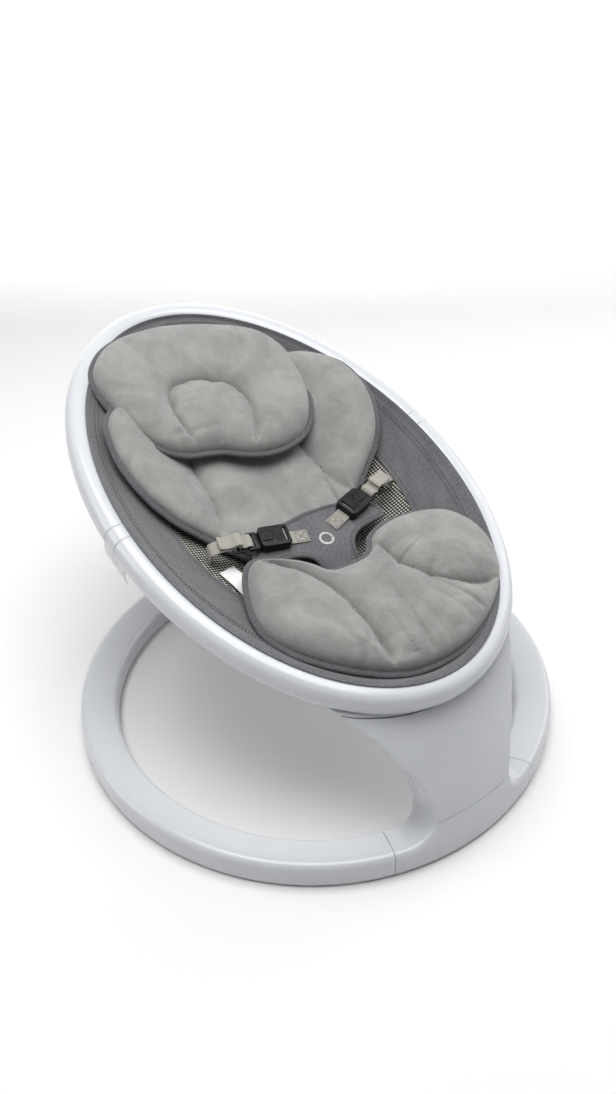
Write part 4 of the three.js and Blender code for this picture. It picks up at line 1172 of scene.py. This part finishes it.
@dataclass
class Cushions:
    """The back cushion with its wings, the seat cushion with two leaf panels, and the head pillow."""

    finishes: Finishes
    plane: SeatPlane

    def sling_floor(self, u: Array, v: Array) -> Array:
        """Returns the lowest height of a cushion's underside: just over the sling."""
        return self.plane.sling(u, v) + 0.0012

    def finish_cushion(self, cushion: Cushion, level: Height, floor: Height, node: str) -> None:
        """Builds, binds and dresses one cushion and lays its seam shade lines."""
        body = cushion.build(level, floor)
        dress(body, self.finishes.velour, Body.SEAT, [node])
        # lay a thin dark tube of painted seam shade along each deep seam
        for k, seam in enumerate(s for s in cushion.seams if s.depth > 0.3):
            seam_shade_line = cushion.seam_shade_line(k, seam, level)
            dress(seam_shade_line, self.finishes.seam, Body.SEAT)
        tape = cushion.bind(level)
        dress(tape, self.finishes.binding, Body.SEAT)

    def back_level(self, u: Array, v: Array) -> Array:
        """Returns the rim height of the back cushion: over the sling, and higher along its wings."""
        return self.plane.sling(u, v) + 0.0075 + 0.0085 * smooth_step(0.08, 0.15, np.abs(u))

    def back(self) -> None:
        """Builds the back cushion."""
        outline = plan_points([
            (0, -96), (44, -95), (62, -72), (87, -40), (116, -16), (143, 4), (163, 29), (176, 62),
            (179, 95), (172, 130), (154, 158), (126, 182), (70, 204), (0, 214), (-66, 206),
            (-118, 186), (-148, 158), (-161, 116), (-163, 80), (-156, 40), (-141, 8), (-123, -14),
            (-103, -36), (-72, -70), (-48, -94)])
        left = plan_points([
            (-62, 190), (-70, 125), (-76, 70), (-80, 34), (-90, -3), (-106, -33)])
        right = plan_points([
            (64, 190), (68, 125), (71, 64), (74, 28), (76, -3), (86, -36)])
        short = plan_points([(76, 20), (66, -8), (60, -36), (58, -70)])
        hollow = plan_points([(-85, -50), (-30, -60), (30, -60), (60, -60)])
        seams = [Seam(left, 0.72, 0.032, 0.0018, 0.02, 0.04, 3),
                 Seam(right, 0.72, 0.032, 0.0018, 0.02, 0.04, 4),
                 Seam(short, 0.4, 0.012, seed=8), Seam(hollow, 0.1, 0.03, 0.004, 0.05, 0.04, 4)]
        cushion = Cushion("back_pad", self.plane, outline, (0, 0.06), 0.021, seams, shoulder=0.036)
        self.finish_cushion(cushion, self.back_level, self.sling_floor, "back_cushion")

    def seat_level(self, u: Array, v: Array) -> Array:
        """Returns the rim height of the seat cushion: level with the ring in front, lower behind."""
        return mix(np.full(np.shape(u), 0.0125), 0.001, smooth_step(-0.25, -0.1, v))

    def seat(self) -> None:
        """Builds the seat cushion."""
        outline = plan_points([
            (-105, -91), (-122, -108), (-139, -144), (-145, -176), (-136, -209), (-116, -237),
            (-89, -263), (-59, -284), (-31, -295), (2, -299), (43, -295), (87, -279), (124, -255),
            (149, -226), (162, -192), (161, -160), (145, -133), (117, -119), (85, -114),
            (60, -116), (42, -123), (28, -139), (10, -146), (-16, -146), (-36, -142), (-48, -125),
            (-62, -111), (-84, -97)])
        left = plan_points([
            (-98, -98), (-80, -114), (-63, -139), (-52, -172), (-49, -209), (-50, -250),
            (-57, -284)])
        right = plan_points([
            (34, -136), (38, -172), (49, -195), (63, -214), (82, -232), (104, -244), (128, -250)])
        front = plan_points([(-30, -296), (20, -299), (60, -290), (100, -272)])
        seams = [Seam(left, 0.74, 0.03, 0.0022, 0.03, 0.034, 2),
                 Seam(right, 0.74, 0.03, 0.0036, 0.028, 0.026, 5),
                 Seam(front, 0.0, 0.02, 0.007, 0.05, 0.03, 9)]
        cushion = Cushion("seat_pad", self.plane, outline, (0.004, -0.21), 0.024, seams,
                          shoulder=0.032, crumple=0.0017, crumpled=(0.02, -0.235, 0.07))
        self.finish_cushion(cushion, self.seat_level, self.sling_floor, "seat_cushion")

    def pillow_level(self, u: Array, v: Array) -> Array:
        """Returns the rim height of the pillow: higher at its sides and its head end."""
        x, y = u / 0.13, (v - 0.17) / 0.12
        return -0.006 + 0.015 * x**2 + 0.022 * np.maximum(y, 0) ** 2 + 0.003 * np.minimum(y, 0) ** 2

    def pillow_floor(self, u: Array, v: Array) -> Array:
        """Returns the lowest height of the pillow's underside: just over the back cushion's rim."""
        return self.back_level(u, v) + 0.0015

    def pillow(self) -> None:
        """Builds the head pillow."""
        outline = plan_points([
            (-125, 240), (-100, 267), (-68, 281), (-30, 285), (4, 283), (50, 270), (92, 249),
            (117, 223), (127, 189), (123, 149), (109, 106), (88, 74), (64, 56), (36, 50), (8, 53),
            (-14, 63), (-36, 77), (-62, 83), (-84, 88), (-104, 104), (-119, 132), (-127, 168),
            (-131, 208)])
        arch = plan_points([
            (-70, 87), (-68, 116), (-66, 147), (-58, 172), (-44, 186), (-20, 189), (8, 180),
            (26, 164), (32, 141), (28, 116), (16, 88), (-2, 60)])
        crest = [(-0.115, 0.24), (-0.03, 0.262), (0.05, 0.245), (0.1, 0.21)]
        feet = [(-0.06, 0.09), (-0.03, 0.083), (0.0, 0.068)]
        seams = [Seam(arch, 0.66, 0.026, 0.0042, 0.034, 0.034, 3),
                 Seam(crest, 0.0, 0.02, 0.0045, 0.05, 0.05, 6),
                 Seam(feet, 0.0, 0.02, 0.004, 0.03, 0.022, 11)]
        cushion = Cushion("head_pad", self.plane, outline, (-0.002, 0.17), 0.026, seams, shoulder=0.044)
        self.finish_cushion(cushion, self.pillow_level, self.pillow_floor, "head_pillow")

    def build(self) -> None:
        """Builds all three."""
        self.back()
        self.seat()
        self.pillow()


# ------------------------------------------------------------------ harness


def rounded_rectangle(half_x: float, half_y: float, corner: float, count: int = 7) -> Array:
    """Returns a rectangle's outline with quarter circles at its corners."""
    t = np.linspace(0, math.pi / 2, count)
    arc = np.stack([np.cos(t), np.sin(t)], 1) * corner
    cx, cy = half_x - corner, half_y - corner
    turned = [arc + [cx, cy], np.stack([-arc[:, 1], arc[:, 0]], 1) + [-cx, cy], -arc + [-cx, -cy],
              np.stack([arc[:, 1], -arc[:, 0]], 1) + [cx, -cy]]
    return np.concatenate(turned)


def cut_away(piece: bpy.types.Object, tools: Sequence[bpy.types.Object], bevel: float) -> None:
    """Cuts tools out of a piece, removes them and rounds the sharp edges that are left."""
    for tool in tools:
        cutter = piece.modifiers.new("cut", "BOOLEAN")
        cutter.operation, cutter.solver, cutter.object = "DIFFERENCE", "EXACT", tool
    rounder = piece.modifiers.new("round", "BEVEL")
    rounder.width, rounder.segments = bevel, 2
    rounder.limit_method, rounder.angle_limit = "ANGLE", math.radians(40)
    rounder.use_clamp_overlap = True
    applied = bpy.data.meshes.new_from_object(piece.evaluated_get(bpy.context.evaluated_depsgraph_get()))
    piece.modifiers.clear()
    piece.data = applied
    applied.polygons.foreach_set("use_smooth", [True] * len(applied.polygons))
    sharpen(piece, 50)
    for tool in tools:
        bpy.data.objects.remove(tool)


class Side(float, Enum):
    """The two sides of the harness."""

    LEFT = -1.0
    RIGHT = 1.0

    @property
    def label(self) -> str:
        """Returns the side's name in node names."""
        return self.name.lower()


@dataclass
class HarnessSide:
    """Buckle, strap adjuster and webbing of one side; x runs outward along the strap."""

    finishes: Finishes
    plane: SeatPlane
    side: Side
    origin: tuple[float, float] = (0.058, -0.066)
    turn: float = math.radians(16)
    web_width: float = 0.0178
    web_thickness: float = 0.0015

    def place(self, x: Array, y: Array, n: Array) -> Array:
        """Turns the buckle's own millimetres into the row's frame."""
        x, y = np.asarray(x, float) * MM, np.asarray(y, float) * MM
        c, s = math.cos(self.turn), math.sin(self.turn)
        u = self.side * (self.origin[0] + x * c - y * s)
        v = self.origin[1] * self.plane.half_length / 0.321 + x * s + y * c
        return self.plane.at(u, v, np.asarray(n, float) * MM)

    def plate(self, name: str, x: tuple[float, float], half_y: float, n: tuple[float, float], corner: float,
              bevel: float = 0.7, crown: float = 0.0) -> bpy.types.Object:
        """Makes a plate with rounded corners and edges, higher along its middle by the crown."""
        middle, half = (x[0] + x[1]) / 2, (x[1] - x[0]) / 2
        levels = [(n[0], bevel), (n[0] + bevel * 0.3, bevel * 0.3), (n[0] + bevel, 0), (n[1] - bevel, 0),
                  (n[1] - bevel * 0.3, bevel * 0.3), (n[1], bevel)]
        loops = []
        for level, inset in levels:
            loop = rounded_rectangle(half - inset, half_y - inset, max(corner - inset, 0.2))
            raised = level + (crown * (1 - (loop[:, 1] / half_y) ** 2) if level > sum(n) / 2 else 0)
            loops.append(self.place(loop[:, 0] + middle, loop[:, 1], raised))
        kit = MeshKit()
        kit.tube(np.array(loops))
        return kit.build(f"{name}_{self.side.label}")

    def ribbon(self, name: str, path: Sequence[tuple[float, float]],
               skew: float = 0.0) -> bpy.types.Object:
        """Makes webbing along a path of (x, n): a flat rounded section carried along a smooth curve.

        Args:
            name: object name.
            path: points of the webbing's middle, millimetres.
            skew: how far it drifts sideways along its length, millimetres.

        Returns:
            The webbing.
        """
        line = spline(path, 70)
        along = unit(np.gradient(line, axis=0))
        up = np.stack([-along[:, 1], along[:, 0]], 1)
        turn = around(20)
        across = self.web_width / 2 / MM * soft_power(np.cos(turn), 0.35)
        lift = self.web_thickness / 2 / MM * soft_power(np.sin(turn), 0.5)
        drift = np.linspace(0, skew, 70)[:, None]
        p = line[:, None] + up[:, None] * lift[None, :, None]
        loops = self.place(p[..., 0], across[None] + drift, p[..., 1])
        run = run_along(line)[:, None] * MM
        uv = np.stack(np.broadcast_arrays(np.append(across, across[:1])[None] * MM, run), axis=2)
        kit = MeshKit()
        kit.tube(loops, uv)
        return kit.build(f"{name}_{self.side.label}")

    def sew(self, name: str, lines: Sequence[Sequence[tuple[float, float]]], n: float) -> None:
        """Sews straight lines of stitches on a flat piece of webbing."""
        paths = [spline(line, 24) for line in lines]
        for k, line in enumerate(paths):
            path = self.place(line[:, 0], line[:, 1], np.full(24, n))
            made = stitches(f"{name}_{k}_{self.side.label}", path, self.plane.normals(path), 0.0016,
                            0.0021, 0.00028)
            dress(made, self.finishes.brown_thread, Body.SEAT)

    def body(self) -> None:
        """Builds the buckle's receiving half, with a socket, a button well and a webbing bar."""
        shell = self.plate("buckle_case", (-18, 18), 14.5, (-8.7, 3.6), 4.5, 1.6, 0.6)
        socket = self.plate("tool_socket", (3, 22), 11, (-6.5, 0), 1.5, 0.2)
        well = self.plate("tool_well", (3.2, 16.8), 6.8, (-1.5, 9), 1.8, 0.1)
        slot = self.plate("tool_slot", (-14.5, -11), 9.6, (-12, 9), 1.2, 0.1)
        grip = [self.plate(f"tool_grip_{k}", (-9.2 + 2.4 * k, -8.2 + 2.4 * k), 9.5, (3.4, 9), 0.45, 0.05)
                for k in range(4)]
        cut_away(shell, [socket, well, slot, *grip], 0.00035)
        dress(shell, self.finishes.black, Body.SEAT, [f"buckle_body_{self.side.label}"])

    def button(self) -> None:
        """Builds the release button, dished and ribbed."""
        cap = self.plate("release_button", (3.7, 16.3), 6.3, (-1.2, 4.5), 1.6, 0.6, 0.3)
        ribs = [self.plate(f"tool_rib_{k}", (6.4 + 2.2 * k, 7.2 + 2.2 * k), 4.4, (4.1, 9), 0.35, 0.05)
                for k in range(4)]
        cut_away(cap, ribs, 0.00025)
        body = Body.BUTTON_LEFT if self.side is Side.LEFT else Body.BUTTON_RIGHT
        dress(cap, self.finishes.black, body, [f"buckle_button_{self.side.label}"])

    def tongue(self, body: Body) -> None:
        """Builds the plug: two rounded prongs, a middle blade and a slotted grip."""
        grip = self.plate("plug_grip", (18.8, 33.2), 12.5, (-6.1, -1.3), 2.6, 1.0, 0.3)
        slot = self.plate("tool_bar", (24.6, 29.8), 9.8, (-12, 9), 1.0, 0.1)
        cut_away(grip, [slot], 0.0003)
        dress(grip, self.finishes.black, body, [f"buckle_tongue_{self.side.label}"])
        prongs = self.plate("plug_prongs", (5.6, 19.8), 9.8, (-6.1, -3.7), 1.8, 0.5)
        gaps = [self.plate(f"tool_gap_{k}", (2.0, 16.5), 2.1, (-12, 9), 1.0, 0.1) for k in range(2)]
        for tool, shift in zip(gaps, (-5.4, 5.4)):
            delta = self.place(0, shift, 0) - self.place(0, 0, 0)
            tool.data.transform(Matrix.Translation(Vector(delta)))
        cut_away(prongs, gaps, 0.0003)
        dress(prongs, self.finishes.black, body)

    def adjuster(self, body: Body) -> None:
        """Builds the three-bar slide."""
        slide = self.plate("strap_slide", (36.8, 52.2), 12.6, (-6.1, -3.2), 2.6, 0.9)
        slots = [self.plate(f"tool_slide_{k}", (x - 2.1, x + 2.1), 9.9, (-12, 9), 0.9, 0.1)
                 for k, x in enumerate((40.9, 48.1))]
        cut_away(slide, slots, 0.00035)
        dress(slide, self.finishes.black, body, [f"strap_adjuster_{self.side.label}"])

    def webbing(self, body: Body) -> None:
        """Builds the sewn tab, the waist strap with its loops and tail, and the strap's anchored end."""
        web = self.finishes.webbing
        tab = self.ribbon("sewn_tab", [
            (-43, -8.0), (-36, -7.9), (-28, -7.8), (-21, -7.2), (-17, -5.2), (-14, -1.5), (-12.6, 1.4),
            (-12.4, -1.5), (-13.2, -5.4), (-16, -8.9)])
        dress(tab, web, Body.SEAT, [f"crotch_tab_{self.side.label}"])
        a, b, c, d = (-41.5, -7), (-27, -7), (-27, 7), (-41.5, 7)
        self.sew("tab_stitches", [[a, b], [b, c], [c, d], [d, a], [a, c], [d, b]], -7.0)
        strap = self.ribbon("waist_webbing", [
            (75.2, -9), (72.5, -6), (66, -3.4), (58, -2.0), (52, -1.7), (49, 0.6), (45.5, 3.4), (42, 2.2),
            (39.4, -1.1), (36, -0.9), (32.6, 0.5), (29, 0.0), (27.2, -3.4), (28.6, -7.2), (33, -7.8),
            (40, -7.7)])
        dress(strap, web, body, [f"waist_strap_{self.side.label}"])
        bpy.context.view_layer.update()
        start, end = self.place(56, 0, -2), self.place(74, 0, -2)
        strap.parent = None
        strap.matrix_world = Matrix.Identity(4)
        tuple(start)
        tuple(end)
        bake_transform(strap)
        tail = self.ribbon("strap_tail", [
            (40.2, 4.3), (43.5, 5.6), (47, 5.0), (50.5, 2.4), (55, 0.9), (61, 0.6), (67, 2.2)], skew=1.5)
        dress(tail, web, body)
        anchor = self.ribbon("strap_root", [(74.6, -6.2), (75.9, -9), (76.4, -14), (76.5, -21)])
        dress(anchor, web, Body.SEAT, [f"strap_anchor_{self.side.label}"])

    def build(self) -> None:
        """Builds the side."""
        body = Body.TONGUE_LEFT if self.side is Side.LEFT else Body.TONGUE_RIGHT
        self.body()
        self.button()
        self.tongue(body)
        self.adjuster(body)
        self.webbing(body)


@dataclass
class CrotchPad:
    """The heather pad that carries both buckles, with a bound edge, stitching and a plain sewn ring."""

    finishes: Finishes
    plane: SeatPlane
    thickness: float = 0.0035

    def outline(self, inset: float, count: int) -> Array:
        """Returns the pad's outline, moved inward by an inset along its normals."""
        right = [(0, -152), (22, -151), (25, -124), (31, -107), (48, -97), (76, -93.5), (89, -91),
                 (93, -82), (88, -71), (66, -59), (36, -49), (0, -46.5)]
        left = [(-u, v) for u, v in right[-2:0:-1]]
        line = spline(plan_points(right + left), count, closed=True)
        along = unit(np.roll(line, -1, 0) - np.roll(line, 1, 0))
        return line + np.stack([-along[:, 1], along[:, 0]], 1) * inset

    def level(self, u: Array, v: Array) -> Array:
        """Returns the top face: flat under the buckles, raised between them, falling to the slot."""
        raised = 0.0016 * np.clip(1 - (u / 0.02) ** 2, 0, 1) ** 2
        ends = 0.004 * smooth_step(0.07, 0.093, np.abs(u))
        return -0.0092 + raised - 0.012 * smooth_step(-0.104, -0.15, v) - ends

    def build(self) -> None:
        """Builds the pad, its binding, stitching and ring."""
        rim = self.outline(0.0005, 260)
        middle = np.array([0, -0.078])
        share = (1 - np.linspace(0, 1, 26) * 0.98)[:, None, None]
        plan = middle + (rim - middle)[None] * share
        height = self.level(plan[..., 0], plan[..., 1])
        upper = self.plane.at(plan[..., 0], plan[..., 1], height)
        lower = self.plane.at(plan[..., 0], plan[..., 1], height - self.thickness)
        kit = MeshKit()
        kit.pad(upper, lower, (plan, plan))
        pad = kit.build("crotch_piece")
        dress(pad, self.finishes.heather, Body.SEAT, ["crotch_pad"])
        centre = self.outline(0.0022, 360)
        edge = self.outline(0.0052, 360)
        along = unit(np.roll(centre, -1, 0) - np.roll(centre, 1, 0))
        inward = np.stack([-along[:, 1], along[:, 0]], 1)
        turn = around(12)
        p = centre[:, None] + inward[:, None] * (np.cos(turn) * 0.0030)[None, :, None]
        n = self.level(centre[:, 0], centre[:, 1])[:, None] - 0.0016 + np.sin(turn)[None] * 0.0026
        kit = MeshKit()
        kit.loop_tube(self.plane.at(p[..., 0], p[..., 1], n))
        dress(kit.build("crotch_binding"), self.finishes.binding, Body.SEAT)
        u, v = np.concatenate([edge, edge[:1]]).T
        path = self.plane.at(u, v, self.level(u, v) + 0.0002)
        made = stitches("crotch_stitching", path, self.plane.normals(path), 0.0022, 0.0032, 0.0003)
        dress(made, self.finishes.thread, Body.SEAT)
        angle = np.linspace(0, 2 * math.pi, 90)
        for k, radius in enumerate((0.0068, 0.0078, 0.0088)):
            u, v = radius * np.cos(angle), -0.092 + radius * np.sin(angle)
            path = self.plane.at(u, v, self.level(u, v) + 0.0003)
            made = stitches(f"sewn_ring_{k}", path, self.plane.normals(path), 0.0019, 0.0021, 0.0005)
            dress(made, self.finishes.pale_thread, Body.SEAT)


@dataclass
class SewnTrim:
    """The pillow's loop, the care label under the ring and the label inside the seat."""

    finishes: Finishes
    plane: SeatPlane

    def strip(self, name: str, rows: Array, across: Array, thickness: float,
              up: Array) -> bpy.types.Object:
        """Makes a thin closed strip from a row of middle points and a sideways vector."""
        share = np.linspace(-0.5, 0.5, 9)[None, :, None]
        grid = rows[:, None] + across[None, None] * share
        kit = MeshKit()
        kit.slab(grid + up * thickness / 2, grid - up * thickness / 2, sheet_uv(grid))
        return kit.build(name)

    def build(self) -> None:
        """Builds the three pieces."""
        v = np.linspace(0.2835, 0.2985, 24)
        arch = 0.0022 * np.sin(np.linspace(0, math.pi, 24))
        rows = self.plane.at(np.zeros(24), v, self.plane.sling(np.zeros(24), v) + 0.0024 + arch)
        across = np.array([0.0065, 0, 0])
        loop = self.strip("pillow_tape", rows, across, 0.0011, self.plane.normal)
        dress(loop, self.finishes.binding, Body.SEAT, ["pillow_loop"])
        low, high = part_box("care_label")
        t = np.linspace(0, 1, 24)
        bow = 0.0022 * np.sin(t * math.pi * 1.2)
        down = -self.plane.normal
        drop = (t - 0.5)[:, None] * 0.0296
        rows = np.array((low + high) / 2) + down * drop - np.array([1, 0, 0]) * bow[:, None]
        along = np.array([0, math.cos(self.plane.tilt), math.sin(self.plane.tilt)])
        label = self.strip("care_tape", rows, along * 0.047, 0.0006, np.array([[[1.0, 0, 0]]]))
        dress(label, self.finishes.label, Body.SEAT, ["care_label"])
        u, w = -0.120 + 0.006 * t, -0.066 - 0.060 * t
        rows = self.plane.at(u, w, self.plane.sling(u, w) + 0.0035 + 0.003 * np.sin(t * math.pi))
        width = self.plane.at(0.022, 0.004, -0.004) - self.plane.centre
        inner = self.strip("inner_label", rows, width, 0.0006, self.plane.normal)
        dress(inner, self.finishes.label, Body.SEAT)


# ------------------------------------------------------------------ studio


@dataclass
class Studio:
    """Camera, bright surroundings and the floor."""

    eye: tuple[float, float, float] = (-0.541, -0.7805, 0.903)
    target: tuple[float, float, float] = (0, -0.082, 0.2033)
    lens: float = 30.94
    shift: tuple[float, float] = (-0.0273, 0.0394)

    @staticmethod
    def aimed(place: Sequence[float], target: Sequence[float]) -> Euler:
        """Returns the turn that points a camera or lamp from a place to a target."""
        return (Vector(target) - Vector(place)).to_track_quat("-Z", "Y").to_euler()

    def camera(self) -> None:
        """Places the camera."""
        data = bpy.data.cameras.new("view")
        data.lens, data.sensor_width, data.sensor_fit = self.lens, 36, "AUTO"
        data.shift_x, data.shift_y = self.shift
        made = bpy.data.objects.new("view", data)
        made.location = self.eye
        made.rotation_euler = self.aimed(self.eye, self.target)
        bpy.context.scene.collection.objects.link(made)
        bpy.context.scene.camera = made

    def light(self, name: str, place: Sequence[float], aim: Sequence[float], size: Sequence[float],
              power: float) -> None:
        """Adds one softbox."""
        data = bpy.data.lights.new(name, "AREA")
        data.shape, data.size, data.size_y, data.energy = "RECTANGLE", size[0], size[1], power
        made = bpy.data.objects.new(name, data)
        made.location = place
        made.rotation_euler = self.aimed(place, aim)
        bpy.context.scene.collection.objects.link(made)

    def world(self, strength: float) -> None:
        """Lights the scene from all round with plain white."""
        world = bpy.data.worlds.new("surroundings")
        world.use_nodes = True
        background = world.node_tree.nodes["Background"]
        background.inputs[0].default_value = (1, 1, 1, 1)
        background.inputs[1].default_value = strength
        bpy.context.scene.world = world

    def floor(self) -> None:
        """Lays a pale floor just under the feet that bends up into a backdrop far behind."""
        n = Nodes("studio_floor")
        shade = n.noise(n.place(), 3, 2)
        parts = n.node("ShaderNodeSeparateXYZ", {0: n.place()})
        behind = n.math("ADD", parts.outputs[1], n.math("MULTIPLY", parts.outputs[0], 0.6))
        far = n.span(behind, 0.3, 2.2)
        near = n.blend(shade, (0.76, 0.76, 0.76), (0.78, 0.78, 0.78))
        material = n.finish(Base_Color=n.blend(far, near, (0.88, 0.88, 0.88)), Roughness=0.9)
        kit = MeshKit()
        bend = np.linspace(0.1, math.pi / 2, 12)
        run = np.concatenate([np.linspace(-4, 5, 19), 5 + 2 * np.sin(bend), [7, 7]])
        rise = np.concatenate([np.zeros(19), 2 - 2 * np.cos(bend), [4, 9]])
        x = np.linspace(-12, 12, 9)[None]
        grid = np.stack(np.broadcast_arrays(x, run[:, None], rise[:, None] - 0.0004), axis=2)
        kit.grid(grid @ np.array([[0.82, -0.57, 0], [0.57, 0.82, 0], [0, 0, 1]]))
        made = kit.build("floor")
        made.data.materials.append(material)

    def build(self) -> None:
        """Builds the studio."""
        self.camera()
        self.world(0.22)
        self.light("overhead", (-0.1, -0.1, 2.1), (0, 0, 0.2), (1.8, 1.6), 50)
        self.light("side", (1.7, -0.1, 1.1), (0, 0, 0.2), (0.9, 1.4), 10)
        self.light("left", (-1.7, 0.9, 1.0), (0, 0, 0.25), (0.8, 1.2), 8)
        self.light("backdrop", (1.5, 2.6, 3.0), (3.2, 5.2, 1.2), (3.0, 2.0), 420)
        self.floor()
        view = bpy.context.scene.view_settings
        view.view_transform, view.look, view.exposure, view.gamma = "Standard", "None", 0, 1


def dress_nodes(f: Finishes) -> None:
    """Gives every carried-over node a finish chosen by the start of its name."""
    rules = (
        (f.rubber, ("foot_pad",)), (f.screws, ("neck_screw",)), (f.copper, ("drive_coil",)),
        (f.inner, ("base_sleeve", "base_cover", "bearing_housing")),
        (f.steel, ("bearing", "swing_shaft", "drive_magnet")), (f.board, ("control_board",)),
        (f.black, ("buckle", "strap_adjuster", "magnet_arm", "speaker", "power_inlet")),
        (f.webbing, ("waist_strap", "crotch_tab", "strap_anchor")),
        (f.heather, ("crotch_pad", "pillow_loop")), (f.label, ("care_label",)))
    for name, node in frame["nodes"].items():
        match = next((finish for finish, starts in rules if name.startswith(starts)), f.shell)
        node.data.materials.clear()
        node.data.materials.append(match)


def main() -> None:
    """Builds the sub-assemblies in order and finishes the scene."""
    logging.basicConfig(level=logging.INFO, format="%(name)s: %(message)s")
    finishes = Finishes()
    plane = SeatPlane()
    floor_base = FloorBase(finishes)
    floor_base.build()
    Neck(finishes, floor_base, plane).build()
    SeatRing(finishes, plane).build()
    Sling(finishes, plane).build()
    Cushions(finishes, plane).build()
    CrotchPad(finishes, plane).build()
    for side in Side:
        HarnessSide(finishes, plane, side).build()
    SewnTrim(finishes, plane).build()
    dress_nodes(finishes)
    Studio().build()


if __name__ == "__main__":
    main()
